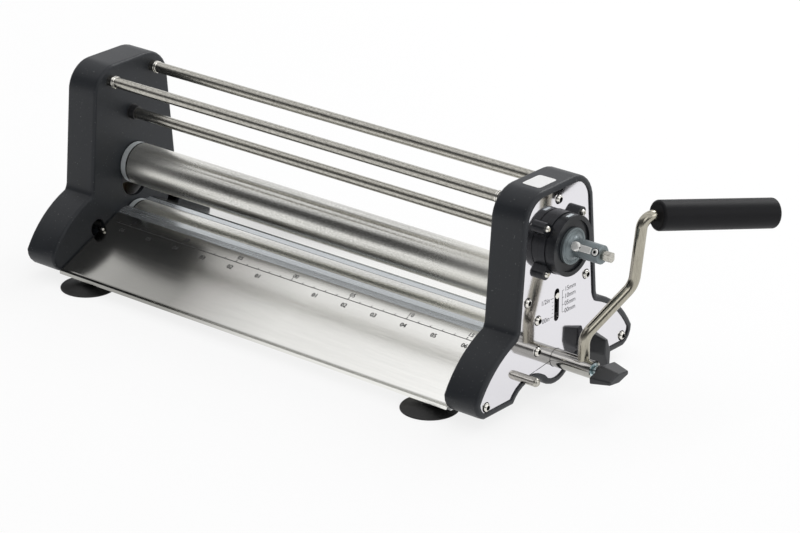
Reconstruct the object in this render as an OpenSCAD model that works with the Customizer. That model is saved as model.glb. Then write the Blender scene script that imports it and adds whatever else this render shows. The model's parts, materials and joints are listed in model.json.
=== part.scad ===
// Hand cranked pasta machine: two moulded casings joined by rods, a driven lower roller,
// an upper roller that rises and sinks on lead screws, sloping trays and a swivelling crank.
// X runs along the rollers with the crank on the right, Y to the back, Z up from the table.

/* [Casings] */
// Distance between the inner faces of the casings
inner_span = 345; // [280:1:420]
// Depth of a casing along the rollers
casing_depth = 27; // [24:0.5:34]
// Height of a casing from its feet to its top
casing_h = 136.5; // [128:0.5:150]
// Clearance under the casings' feet
foot_clear = 7; // [6:0.5:10]
// Half the width of the tower at its top
tower_half_w = 36.3; // [34:0.1:42]
// Half the width at the knee, where the feet flare out
knee_half_w = 42; // [40:0.1:48]
// Height of the knee above the feet
knee_h = 48; // [44:0.5:52]
// Half the width over the feet
foot_half_w = 82.4; // [74:0.1:95]
// Height of the widest point of a foot above its sole
nose_h = 13; // [10:0.5:16]
// Radius of the tower's top corners
corner_r = 20.4; // [14:0.1:24]
// Bulge of the flare between knee and foot
flare_bulge = 4.5; // [2:0.1:7]
// Radius of the round lobe under the drive shaft
lobe_r = 18.2; // [15:0.1:18.6]
// Thickness of the casing's inner wall
inner_wall = 3; // [2:0.1:4]
// Width of the rim round the side plate
rim_w = 4; // [3:0.1:5]
// Width of the ledge that the side plate lies on
ledge_w = 2; // [1.5:0.1:3]
// Rounding of the casing's outer edges
edge_r = 2.4; // [1:0.1:3]

/* [Side plates] */
// Thickness of a side plate
plate_t = 1.5; // [1:0.1:2.5]
// Depth of the plate's face behind the rim
plate_inset = 1; // [0.5:0.1:1.5]
// Width of the gap slot
gap_slot_w = 5; // [4.6:0.1:6]
// Width of the slit that lets the plate pass the shaft
slit_w = 0.5; // [0.3:0.1:1]
// Shank of the plate and rail screws
screw_d = 3; // [2.5:0.1:3.4]
// Head of the plate and rail screws
screw_head_d = 5.8; // [5:0.1:6.5]

/* [Rollers] */
// Diameter of both rollers
roller_d = 29.4; // [26:0.1:31]
// Height of the lower roller's axis above the table
lower_axis_h = 24.3; // [23.8:0.1:26]
// Gap between the rollers as photographed
rest_gap = 13.5; // [10:0.1:15]
// Widest gap between the rollers
max_gap = 16; // [15:0.1:16.4]
// Wall of the roller tubes
roller_wall = 2.5; // [1.5:0.1:4]
// Gap between a roller's end and the casing
roller_end_gap = 1; // [0.5:0.1:2]
// Diameter of the drive shaft and the upper axle
axle_d = 12; // [10:0.1:13]
// Length of a roller's end plug
plug_len = 14; // [8:1:25]

/* [Rods] */
// Diameter of the guard rods and the adjusting shaft
rod_d = 7.6; // [6:0.1:8.4]
// Distance of each guard rod from the middle plane
guard_rod_y = 20.7; // [17:0.1:23]
// Depth of the guard rods' axes below the casings' top
guard_rod_drop = 10.7; // [9.5:0.1:12]
// Depth of the adjusting shaft's axis below the casings' top
adjust_drop = 39.2; // [35.5:0.1:39.6]
// Diameter of the tray rods
tray_rod_d = 6; // [5:0.1:6.4]
// Distance of each tray rod from the middle plane
tray_rod_y = 32.6; // [31:0.1:34]
// Height of the tray rods above the table
tray_rod_z = 20.9; // [20:0.1:21.4]
// Length of tray rod that stands out of the side plate
pin_out = 12; // [8:0.5:16]

/* [Trays] */
// Thickness of the tray sheet
sheet_t = 1; // [0.6:0.1:1.3]
// Height of the tray's upper edge above the table
tray_top_z = 35; // [34.6:0.1:35.2]
// Distance of the tray's upper edge from the middle plane
tray_top_y = 19; // [18.6:0.1:21]
// Height of the tray's free edge above the table
tray_lip_z = 9.8; // [9.4:0.1:13]
// Distance of the tray's free edge from the middle plane
tray_lip_y = 77.9; // [74:0.1:90]
// Depth of the lip at the free edge
lip_h = 2.4; // [1.6:0.1:2.8]
// Thickness of the scraper strips
scraper_t = 0.8; // [0.5:0.1:0.9]

/* [Gap adjustment] */
// Width of a bearing block
block_w = 30.4; // [26:0.1:31]
// Height of a bearing block
block_h = 29; // [24:0.5:29]
// Diameter of the lead screws
lead_d = 6; // [4:0.1:7]
// Teeth of each bevel gear
bevel_teeth = 14; // [12:2:16]
// Pitch radius of each bevel gear at its heel
bevel_r = 8; // [7:0.1:8]
// Radius of the counter housing's drum
drum_r = 20; // [18.5:0.1:21.5]
// How far the drum stands out of the side plate
drum_len = 12; // [9:0.1:14]
// Radius of the hub's disc
hub_disc_r = 12; // [10:0.1:14]
// Radius of the hub's neck
hub_neck_r = 6.2; // [5.2:0.1:7]
// Length of the hub in front of the drum
hub_len = 23.5; // [20:0.5:24]

/* [Crank] */
// How far the drive shaft stands out of the side plate
socket_out = 30.8; // [29:0.1:34]
// Distance of the crank arm from the shaft's open end
arm_setback = 8.6; // [8:0.1:10]
// Diameter of the crank arm
arm_d = 7.6; // [6:0.1:7.9]
// Height of the arm's first bend above the shaft
bend1_h = 21; // [20:0.5:26]
// Height of the arm's second bend above the shaft
bend2_h = 49.7; // [46:0.1:54]
// Height of the arm's third bend above the shaft
bend3_h = 95.5; // [88:0.1:102]
// How far the second bend stands out from the arm's foot
bend2_out = 35.5; // [30:0.1:38]
// How far the third bend stands out from the arm's foot
bend3_out = 41; // [39:0.1:46]
// Swivel of the arm's plane from the roller axis, as photographed
arm_swivel = 67; // [60:1:75]
// Droop of the grip below level
grip_droop = 9.4; // [0:0.1:14]
// Diameter of the grip
grip_d = 20; // [16:0.5:26]
// Length of the grip
grip_len = 90; // [70:1:110]
// Length of a wing knob over both wings
wing_len = 27; // [22:0.5:30]
// Thickness of a wing knob at its middle
wing_w = 10.4; // [9:0.1:12]

/* [Feet] */
// Diameter of the suction cups
cup_d = 38.5; // [30:0.5:40]
// Distance of each suction cup's middle from the casing's inner face
cup_inset = 20.5; // [20.2:0.1:30]
// Distance of a suction cup's middle from the tip of the foot above it
cup_setback = 12.4; // [11.4:0.1:26]

/* [Hidden] */
$fn = 64;
hull_fn = 32;
half_turn = 180;
overrun = 1;
fit = 0.05;
loose = 0.3;
seat = 0.1;

// Planes along X, measured from the middle of the machine
face_x = inner_span / 2;
cavity_x = face_x + inner_wall;
rim_x = face_x + casing_depth;
plate_x = rim_x - plate_inset;
plate_back_x = plate_x - plate_t;

// Heights
sole_z = foot_clear;
top_z = sole_z + casing_h;
guard_rod_z = top_z - guard_rod_drop;
adjust_z = top_z - adjust_drop;
cup_y = foot_half_w - cup_setback;
roller_r = roller_d / 2;
upper_axis_z = lower_axis_h + roller_d + rest_gap;
lift_max = max_gap - rest_gap;
zero_gap_z = lower_axis_h + roller_d;

// Outline of a casing, as half of it from the sole's middle to the top's middle
lobe_angle = 38;
arch_rise = 6.4;
foot_inner_out = 11.4;
foot_inner_y = tray_rod_y + foot_inner_out;
nose_back = 9;
nose_bulge = 2.6;
knee_fillet_h = 4;
knee_fillet_in = 2;
knee_hollow = 0.5;
corner_bulge = corner_r * (1 - cos(45));
arc_steps = 8;
short_steps = 4;

function arc(a, b, bulge, n) =
    let (d = b - a, len = norm(d), side = sign(bulge))
    let (r = (len * len / 4 + bulge * bulge) / (2 * abs(bulge)))
    let (c = (a + b) / 2 + [-d[1], d[0]] / len * (bulge - side * r), v = a - c, w = b - c)
    let (from = atan2(v[1], v[0]), turn = atan2(v[0] * w[1] - v[1] * w[0], v * w))
    [for (i = [0:n - 1]) c + r * [cos(from + turn * i / n), sin(from + turn * i / n)]];

lobe_side = [lobe_r * cos(lobe_angle), lower_axis_h - lobe_r * sin(lobe_angle)];
lobe_low = [0, lower_axis_h - lobe_r];
lobe_bulge = lobe_r * (1 - cos((90 - lobe_angle) / 2));
half_outline = concat(
    arc(lobe_low, lobe_side, -lobe_bulge, short_steps),
    arc(lobe_side, [foot_inner_y, sole_z], arch_rise, arc_steps),
    [[foot_inner_y, sole_z]],
    arc([foot_half_w - nose_back, sole_z], [foot_half_w, sole_z + nose_h], -nose_bulge, short_steps),
    arc([foot_half_w, sole_z + nose_h], [knee_half_w + knee_fillet_in, sole_z + knee_h - knee_fillet_in],
        -flare_bulge, arc_steps),
    arc([knee_half_w + knee_fillet_in, sole_z + knee_h - knee_fillet_in],
        [knee_half_w, sole_z + knee_h + knee_fillet_h], knee_hollow, short_steps),
    [[knee_half_w, sole_z + knee_h + knee_fillet_h]],
    arc([tower_half_w, top_z - corner_r], [tower_half_w - corner_r, top_z], -corner_bulge, arc_steps),
    [[tower_half_w - corner_r, top_z]]
);
half_n = len(half_outline);
outline = concat(half_outline, [for (i = [half_n - 1:-1:1]) [-half_outline[i][0], half_outline[i][1]]]);
outline_n = len(outline);

function out_normal(a, b) = [b[1] - a[1], a[0] - b[0]] / norm(b - a);
function inset(pts, d) =
    let (n = len(pts))
    [for (i = [0:n - 1])
        let (u = out_normal(pts[(i + n - 1) % n], pts[i]), v = out_normal(pts[i], pts[(i + 1) % n]))
        pts[i] - d * (u + v) / (1 + u * v)];

// Casing details
boss_r = 4.8;
rod_boss_r = 6.5;
rod_socket_len = 7.5;
shaft_boss_r = 9;
shaft_boss_len = 1;
bearing_boss_r = 11;
tray_rod_boss_r = 4.2;
bearing_boss_len = 3.5;
slot_w = 25;
slot_below = 11.8;
hook_hole_r = 6.3;
hook_hole_out = 5.9;
hook_hole_up = 8.1;
hook_hole_y = tray_rod_y + hook_hole_out;
hook_hole_z = tray_rod_z + hook_hole_up;
screw_bore_depth = 10;

// Places on a side plate: distance from the middle plane and height
foot_screw_in = 10.9;
foot_screw_up = 8;
knee_screw_up = 17.2;
top_screw_up = 0.2;
foot_screw_y = foot_half_w - foot_screw_in;
foot_screw_z = sole_z + foot_screw_up;
knee_screw_y = 30.5;
knee_screw_z = sole_z + knee_h + knee_screw_up;
plate_screw_places = [[-foot_screw_y, foot_screw_z], [foot_screw_y, foot_screw_z],
    [-knee_screw_y, knee_screw_z], [knee_screw_y, knee_screw_z], [0, guard_rod_z + top_screw_up]];
rail_y = 19.5;
rail_w = 8;
rail_low_z = 29;
rail_drop = 14.3;
rail_top_z = adjust_z - rail_drop;
rail_screw_low_z = 35;
rail_screw_high_z = 56.4;
rail_screw_zs = [rail_screw_low_z, rail_screw_high_z];
screw_head_h = 1.9;
head_edge_share = 0.3;
head_knee_share = 0.72;
head_knee_r_share = 0.42;
head_flat_share = 0.3;
socket_af = 2;
screw_len = 8;

// Bearings and bushes
bush_wall = 3;
bush_flange_r = 10.5;
bush_flange_t = 1.5;
shaft_bush_wall = 2.2;

// Upper roller's block
block_x = cavity_x + loose;
block_depth = 18.5;
bush_len = 8;
lead_in = 15.5;
lead_x = face_x + lead_in;
pointer_d = 4;
pointer_out = 0.7;

// Lead screw and its bracket
bracket_t = 3;
bracket_z = rail_top_z;
collar_r = 5;
collar_t = 2;
lead_below = 9;
lead_low_z = upper_axis_z - lead_below;
bevel_face = 3;
bevel_add = 0.85;
bevel_ded = 1.1;
bevel_sink = 1.3;
bevel_root_w = 1.9;
bevel_tip_w = 0.8;
bevel_hub_r = 5.2;

// Counter housing and hub
ear_y = 18.3;
ear_z = 15.3;
ear_r = 3.8;
ear_len = 5;
ear_screw_d = 2.5;
ear_screw_head_d = 4.2;
drum_ring_w = 6;
drum_ring_t = 1.4;
drum_base_t = 4.5;
drum_step = 0.35;
hub_disc_t = 2.2;
hub_proud = 0.5;
hub_rim_w = 1.2;
hub_dish = 0.5;
hub_flare_r = 3.2;
hub_sleeve_r = 6.4;
stub_len = 6.5;
stub_d = 6.6;
stub_flat = 5.4;
key_angle = 29;
key_w = 4.4;
key_t = 2.2;
key_len = 11.8;
key_head_r = 3.2;
key_hole_share = 2.1;
key_hole_r = 0.5;
hub_screw_setback = 0.5;
hub_screw_r = 2.2;
window_w = 6;
window_len = 2.6;
window_t = 1;

// Drive shaft's socket, the arm's foot and the clamping bolt
socket_wall = 1.2;
socket_end_x = plate_x + socket_out;
arm_x = socket_end_x - arm_setback;
socket_bore_r = axle_d / 2 - socket_wall;
socket_spare = 4;
socket_depth = arm_setback + arm_d / 2 + socket_spare;
arm_foot = 2.3;
bolt_d = 6;
bolt_plug_len = 2.4;
bend1_r = 12;
bend2_r = 14;
bend3_r = 8;
bend_r = [bend1_r, bend2_r, bend3_r];
bend_thin = 0.03;
bend_lap = 0.4;
spindle_d = 5;
grip_gap = 0.4;
grip_edge_r = 2;
grip_screw_d = 9;
grip_screw_h = 2;
grip_recess = 3;

// Wing knobs
knob_boss_r = 4.6;
knob_boss_len = 2.4;
wing_depth = 13.8;
wing_tip_w = 4.6;
wing_end_len = 19.6;
wing_end_w = 6.4;
wing_end_tip_w = 2.6;
wing_slice = 0.4;
tray_knob_tilt = 8;
crank_knob_tilt = 86;
crank_knob_gap = 3.4;
stud_len = 10.5;
tray_knob_x = rim_x + loose;

// Trays
tray_end_gap = 1;
tray_half = face_x - tray_end_gap;
lip_step = 0.5;
lip_band = 3.4;
cheek_t = 1;
cheek_drop = 5.4;
cheek_half_w = 6;
scraper_lap = 5;
scraper_crease_y = 14.4;
scraper_crease_z = 36.4;
scraper_tip_angle = 124.5;

// Feet
bracket_drop = 1.4;
bracket_low_z = foot_clear - bracket_drop;
foot_bracket_t = 1.6;
foot_bracket_w = 30;
foot_flange_h = 7;
foot_bracket_in = 8.4;
foot_bracket_half = foot_half_w - foot_bracket_in;
cup_neck_r = 5;
cup_rim_t = 0.9;
cup_crown_z = 3.8;
cup_crown_share = 0.62;
cup_stud_d = 4;
cup_stud_head_d = 7;
cup_stud_head_h = 1.6;

// Rating label
label_len = 18.5;
label_w = 14;
label_t = 0.2;
label_r = 2;
label_y = -5.6;
label_in = 14.8;
label_x = face_x + label_in;

// The origin lies under the middle of the whole object's box
swivel_dir = [cos(arm_swivel), sin(arm_swivel)];
grip_start_out = bend3_out + bend_r[2] * tan((90 + grip_droop) / 2) + grip_gap;
grip_run = grip_len * cos(grip_droop);
grip_axis = [cos(grip_droop) * swivel_dir[0], cos(grip_droop) * swivel_dir[1], -sin(grip_droop)];
grip_reach = [arm_x, 0] + (grip_start_out + grip_run) * swivel_dir;
grip_rim = [for (a = [grip_axis[0], grip_axis[1]])
    (grip_d / 2 - grip_edge_r) * sqrt(1 - a * a) + grip_edge_r * (1 - a)];
box_max_x = grip_reach[0] + grip_rim[0];
box_max_y = grip_reach[1] + grip_rim[1];
box_min_x = -(tray_knob_x + knob_boss_len + wing_depth);
box_min_y = -max(foot_half_w, cup_y + cup_d / 2);
mid_x = (box_max_x + box_min_x) / 2;
mid_y = (box_max_y + box_min_y) / 2;

// Puts a piece into the object's frame
module placed() {
    translate([-mid_x, -mid_y, 0]) children();
}

// Turns a right-hand piece into its left-hand twin
module turned() {
    rotate([0, 0, half_turn]) children();
}

module both_ends() {
    children();
    turned() children();
}

module rear() {
    mirror([0, 1, 0]) children();
}

// A round bar along X
module bar(x, len, r, y = 0, z = 0) {
    translate([x, y, z]) rotate([0, 90, 0]) cylinder(h = len, r = r);
}

// A flat outline of [y, z] points, thick along X
module slab(x, len, pts) {
    translate([x, 0, 0]) rotate([90, 0, 90]) linear_extrude(len) polygon(pts);
}

// Casings
edge_angles = [0, 30, 60, 90];
function edge_ring(side, a) =
    [side > 0 ? rim_x - edge_r * (1 - cos(a)) : face_x + edge_r * (1 - cos(a)), edge_r * (1 - sin(a))];
casing_rings = concat([for (a = edge_angles) edge_ring(-1, a)],
    [for (i = [3:-1:0]) edge_ring(1, edge_angles[i])],
    [[rim_x, rim_w], [plate_back_x, rim_w], [plate_back_x, rim_w + ledge_w],
        [cavity_x - overrun, rim_w + ledge_w]]);

// The side wall as one closed band of insets: edge, side, rim, ledge and hollow
module casing_band() {
    rings = len(casing_rings);
    n = outline_n;
    points = [for (ring = casing_rings) for (p = inset(outline, ring[1])) [ring[0], p[0], p[1]]];
    sides = [for (k = [0:rings - 1]) for (i = [0:n - 1]) for (half = [0, 1])
        let (a = k * n + i, b = k * n + (i + 1) % n, next = (k + 1) % rings)
        let (c = next * n + i, d = next * n + (i + 1) % n)
        half == 0 ? [a, c, b] : [b, c, d]];
    polyhedron(points, sides);
}

module casing_shape() {
    difference() {
        union() {
            casing_band();
            slab(face_x, inner_wall, inset(outline, edge_r));
            for (p = plate_screw_places)
                bar(cavity_x - overrun, plate_back_x - cavity_x + overrun, boss_r, p[0], p[1]);
            for (s = [-1, 1])
                bar(cavity_x - overrun, rod_socket_len + overrun, rod_boss_r, s * guard_rod_y, guard_rod_z);
            for (s = [-1, 1])
                bar(cavity_x - overrun, plate_back_x - cavity_x + overrun, tray_rod_boss_r,
                    s * tray_rod_y, tray_rod_z);
            bar(cavity_x - overrun, shaft_boss_len + overrun, shaft_boss_r, 0, adjust_z);
            bar(cavity_x - overrun, bearing_boss_len + overrun, bearing_boss_r, 0, lower_axis_h);
        }
        casing_holes();
    }
}

module casing_holes() {
    through = casing_depth + 2 * overrun;
    for (p = plate_screw_places)
        bar(plate_back_x - screw_bore_depth, screw_bore_depth + overrun, screw_d / 2 + fit, p[0], p[1]);
    for (s = [-1, 1]) {
        bar(face_x - overrun, through, rod_d / 2 + fit, s * guard_rod_y, guard_rod_z);
        bar(cavity_x + rod_socket_len, plate_back_x - cavity_x - rod_socket_len, rod_screw_head_r + fit,
            s * guard_rod_y, guard_rod_z);
        bar(face_x - overrun, through, tray_rod_d / 2 + fit, s * tray_rod_y, tray_rod_z);
        bar(face_x - overrun, inner_wall + 2 * overrun, hook_hole_r, s * hook_hole_y, hook_hole_z);
        bar(face_x - overrun, foot_rivet_depth + overrun, foot_rivet_d / 2 + fit, s * foot_rivet_y,
            foot_rivet_z);
    }
    bar(face_x - overrun, through, rod_d / 2 + shaft_bush_wall + fit, 0, adjust_z);
    bar(face_x - overrun, through, axle_d / 2 + bush_wall + fit, 0, lower_axis_h);
    slot_low_z = zero_gap_z - slot_below + slot_w / 2;
    slot_top_z = upper_axis_z + lift_max;
    translate([face_x - overrun, -slot_w / 2, slot_low_z])
        cube([inner_wall + 2 * overrun, slot_w, slot_top_z - slot_low_z]);
    for (z = [slot_low_z, slot_top_z])
        bar(face_x - overrun, inner_wall + 2 * overrun, slot_w / 2, 0, z);
}

module right_casing() {
    color("#2b2d30") placed() casing_shape();
}

module left_casing() {
    color("#2b2d30") placed() turned() casing_shape();
}

// Side plates
gap_slot_low_z = zero_gap_z - pointer_d;
gap_slot_top_z = upper_axis_z + lift_max + pointer_d / 2 + loose;

module plate_blank() {
    hole_len = plate_t + 2 * overrun;
    hole_x = plate_back_x - overrun;
    difference() {
        slab(plate_back_x, plate_t, inset(outline, rim_w + seat));
        for (p = plate_screw_places)
            bar(hole_x, hole_len, screw_d / 2 + fit, p[0], p[1]);
        for (z = rail_screw_zs)
            bar(hole_x, hole_len, screw_d / 2 + fit, -rail_y, z);
        for (s = [-1, 1])
            bar(hole_x, hole_len, tray_rod_d / 2 + fit, s * tray_rod_y, tray_rod_z);
        bar(hole_x, hole_len, axle_d / 2 + loose, 0, lower_axis_h);
        plate_slit();
    }
}

// The slit from the shaft's hole to the tray rod's hole and down to the edge
module plate_slit() {
    run = [tray_rod_y, lower_axis_h - tray_rod_z];
    slit_len = norm(run) - axle_d / 2 - tray_rod_d / 2;
    translate([plate_back_x - overrun, 0, lower_axis_h])
        rotate([-atan2(run[1], -run[0]), 0, 0])
        translate([0, axle_d / 2, -slit_w / 2])
        cube([plate_t + 2 * overrun, slit_len, slit_w]);
    translate([plate_back_x - overrun, -tray_rod_y - tray_rod_d / 2, sole_z])
        cube([plate_t + 2 * overrun, slit_w, tray_rod_z - sole_z]);
}

module right_side_plate() {
    hole_len = plate_t + 2 * overrun;
    hole_x = plate_back_x - overrun;
    color("#d8d8dc") placed() difference() {
        plate_blank();
        bar(hole_x, hole_len, rod_d / 2 + loose, 0, adjust_z);
        for (y = [-ear_y, ear_y])
            for (z = [-ear_z, ear_z])
                bar(hole_x, hole_len, ear_screw_d / 2 + fit, y, adjust_z + z);
        translate([hole_x, -gap_slot_w / 2, gap_slot_low_z + gap_slot_w / 2])
            cube([hole_len, gap_slot_w, gap_slot_top_z - gap_slot_low_z - gap_slot_w]);
        for (z = [gap_slot_low_z + gap_slot_w / 2, gap_slot_top_z - gap_slot_w / 2])
            bar(hole_x, hole_len, gap_slot_w / 2, 0, z);
    }
}

module left_side_plate() {
    color("#d8d8dc") placed() turned() plate_blank();
}

// A button head screw with a hex socket, its head on the side plate's face
module button_screw(y, z, shank_d, head_d, head_h, len, seat_x) {
    translate([seat_x, y, z]) rotate([0, 90, 0]) difference() {
        union() {
            rotate_extrude() polygon([[0, 0], [head_d / 2, 0], [head_d / 2, head_h * head_edge_share],
                [head_d * head_knee_r_share, head_h * head_knee_share], [head_d * head_flat_share, head_h],
                [0, head_h]]);
            translate([0, 0, -len]) cylinder(h = len + head_h / 2, r = shank_d / 2);
        }
        translate([0, 0, head_h / 2]) cylinder(h = head_h, r = socket_af / sqrt(3), $fn = 6);
    }
}

module plate_screw_set() {
    for (p = plate_screw_places)
        button_screw(p[0], p[1], screw_d, screw_head_d, screw_head_h, screw_len, plate_x);
}

module right_plate_screws() {
    color("#c9c9c6") placed() plate_screw_set();
}

module left_plate_screws() {
    color("#c9c9c6") placed() turned() plate_screw_set();
}

module rail_screws() {
    color("#c9c9c6") placed() both_ends()
        for (z = rail_screw_zs)
            button_screw(-rail_y, z, screw_d, screw_head_d, screw_head_h, screw_len, plate_x);
}

// Guide rails between the inner wall and the side plate, beside each bearing block
module guide_rail(y, drilled) {
    difference() {
        translate([cavity_x, y - rail_w / 2, rail_low_z])
            cube([plate_back_x - cavity_x, rail_w, rail_top_z - rail_low_z]);
        if (drilled)
            for (z = rail_screw_zs)
                bar(plate_back_x - screw_bore_depth, screw_bore_depth + overrun, screw_d / 2 + fit, y, z);
    }
}

module guide_rails() {
    color("#9a9a98") placed() both_ends() {
        guide_rail(-rail_y, true);
        guide_rail(rail_y, false);
    }
}

// Guard rods, screwed at both ends inside the casings
rod_end_x = cavity_x + rod_socket_len - seat;
rod_screw_d = 5;
rod_screw_depth = 10;
rod_screw_head_r = 6;
rod_screw_head_h = 4;

module guard_rod(y) {
    difference() {
        bar(-rod_end_x, 2 * rod_end_x, rod_d / 2, y, guard_rod_z);
        for (x = [-rod_end_x - overrun, rod_end_x - rod_screw_depth])
            bar(x, rod_screw_depth + overrun, rod_screw_d / 2 + fit, y, guard_rod_z);
    }
}

module front_guard_rod() {
    color("#b9b4a8") placed() guard_rod(-guard_rod_y);
}

module rear_guard_rod() {
    color("#b9b4a8") placed() guard_rod(guard_rod_y);
}

module guard_rod_screws() {
    head_x = cavity_x + rod_socket_len;
    color("#a8a8a4") placed() both_ends()
        for (y = [-guard_rod_y, guard_rod_y])
            difference() {
                union() {
                    bar(head_x, rod_screw_head_h, rod_screw_head_r, y, guard_rod_z);
                    bar(rod_end_x - rod_screw_depth + overrun, rod_screw_depth, rod_screw_d / 2, y,
                        guard_rod_z);
                }
                translate([head_x + rod_screw_head_h / 2, y, guard_rod_z]) rotate([0, 90, 0])
                    cylinder(h = rod_screw_head_h, r = rod_screw_d / 2, $fn = 6);
            }
}

// Flanged bushes
module flanged_bush(z, bore_r, wall_r, flange_r, from_x, to_x) {
    difference() {
        union() {
            bar(from_x, to_x - from_x, wall_r, 0, z);
            bar(to_x, bush_flange_t, flange_r, 0, z);
        }
        bar(from_x - overrun, to_x - from_x + bush_flange_t + 2 * overrun, bore_r, 0, z);
    }
}

shaft_collar_r = 5;
shaft_collar_len = 5;

module shaft_bushes() {
    bore_r = rod_d / 2 + fit;
    color("#1b1b1c") placed() both_ends() difference() {
        union() {
            flanged_bush(adjust_z, bore_r, rod_d / 2 + shaft_bush_wall, rod_d / 2 + 2 * shaft_bush_wall,
                face_x, cavity_x + shaft_boss_len);
            bar(face_x - shaft_collar_len, shaft_collar_len, shaft_collar_r, 0, adjust_z);
        }
        bar(face_x - shaft_collar_len - overrun, shaft_collar_len + 2 * overrun, bore_r, 0, adjust_z);
    }
}

module lower_bearings() {
    color("#b08d57") placed() both_ends()
        flanged_bush(lower_axis_h, axle_d / 2 + fit, axle_d / 2 + bush_wall, bush_flange_r, face_x,
            cavity_x + bearing_boss_len);
}

// Trays: one bent sheet with a lip, and a cheek at each end that hangs on the tray rod
tray_slope = [tray_top_y - (tray_lip_y - lip_band), tray_top_z - (tray_lip_z + lip_step)];
tray_dir = tray_slope / norm(tray_slope);
tray_down = [tray_dir[1], -tray_dir[0]] * (tray_dir[0] < 0 ? 1 : -1);
tray_under = -sheet_t / abs(tray_dir[0]);

function tray_z(y) = tray_top_z + (y - tray_top_y) * tray_slope[1] / tray_slope[0];

module tray_shape() {
    band_y = tray_lip_y - lip_band;
    lip_low_z = tray_lip_z - lip_h;
    profile = [[-tray_top_y, tray_top_z], [-band_y, tray_z(band_y)],
        [-band_y - lip_step, tray_z(band_y) - lip_step], [-tray_lip_y, tray_lip_z],
        [-tray_lip_y, lip_low_z], [-tray_lip_y + sheet_t, lip_low_z],
        [-tray_lip_y + sheet_t, tray_lip_z - sheet_t],
        [-band_y - lip_step, tray_z(band_y) - lip_step + tray_under],
        [-band_y, tray_z(band_y) + tray_under], [-tray_top_y, tray_top_z + tray_under]];
    difference() {
        union() {
            slab(-tray_half, 2 * tray_half, profile);
            for (x = [-tray_half, tray_half - cheek_t])
                slab(x, cheek_t, [
                    [-tray_rod_y - cheek_half_w, tray_z(tray_rod_y + cheek_half_w) + tray_under / 2],
                    [-tray_rod_y - cheek_half_w, tray_rod_z - cheek_drop / 2],
                    [-tray_rod_y - cheek_half_w / 2, tray_rod_z - cheek_drop],
                    [-tray_rod_y + cheek_half_w / 2, tray_rod_z - cheek_drop],
                    [-tray_rod_y + cheek_half_w, tray_rod_z - cheek_drop / 2],
                    [-tray_rod_y + cheek_half_w, tray_z(tray_rod_y - cheek_half_w) + tray_under / 2]]);
        }
        bar(-tray_half - overrun, 2 * (tray_half + overrun), tray_rod_d / 2 + fit, -tray_rod_y, tray_rod_z);
    }
}

module front_tray() {
    color("#c4c1ba") placed() tray_shape();
}

module rear_tray() {
    color("#c4c1ba") placed() rear() tray_shape();
}

// Scrapers: a strip tucked under the tray's upper edge, bent so that its tip lies on the roller
module scraper_shape() {
    tip_r = roller_r + loose;
    tip = [tip_r * cos(scraper_tip_angle), lower_axis_h + tip_r * sin(scraper_tip_angle)];
    under = tray_under - seat;
    low_y = tray_top_y + scraper_lap;
    profile = [[-low_y, tray_z(low_y) + under], [-tray_top_y + seat, tray_top_z + under],
        [-scraper_crease_y, scraper_crease_z], tip, [tip[0] - scraper_t / 2, tip[1] - scraper_t / 2],
        [-scraper_crease_y, scraper_crease_z - scraper_t],
        [-tray_top_y + seat, tray_top_z + under - scraper_t], [-low_y, tray_z(low_y) + under - scraper_t]];
    slab(-face_x + seat, 2 * (face_x - seat), profile);
}

module front_scraper() {
    color("#8d98a3") placed() scraper_shape();
}

module rear_scraper() {
    color("#8d98a3") placed() rear() scraper_shape();
}

// Tray rods: a plain rounded pin at one end, a threaded stud for the knob at the other
module tray_rod_shape() {
    pin_end_r = tray_rod_d / 2;
    pin_x = plate_x + pin_out - pin_end_r;
    bar(-plate_x, plate_x + pin_x, tray_rod_d / 2, -tray_rod_y, tray_rod_z);
    translate([pin_x, -tray_rod_y, tray_rod_z]) rotate([0, 90, 0])
        rotate_extrude() intersection() {
            circle(r = pin_end_r);
            square(pin_end_r);
        }
    bar(-plate_x - stud_len, stud_len + overrun, stud_d / 2, -tray_rod_y, tray_rod_z);
}

stud_d = 5;

module front_tray_rod() {
    color("#bdbab2") placed() tray_rod_shape();
}

module rear_tray_rod() {
    color("#bdbab2") placed() turned() tray_rod_shape();
}

// Brackets that carry the lead screws on top of the guide rails
module screw_brackets() {
    color("#9a9a98") placed() both_ends() difference() {
        translate([cavity_x, -rail_y - rail_w / 2, bracket_z])
            cube([plate_back_x - cavity_x, 2 * rail_y + rail_w, bracket_t]);
        translate([lead_x, 0, bracket_z - overrun])
            cylinder(h = bracket_t + 2 * overrun, r = lead_d / 2 + fit);
    }
}

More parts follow.
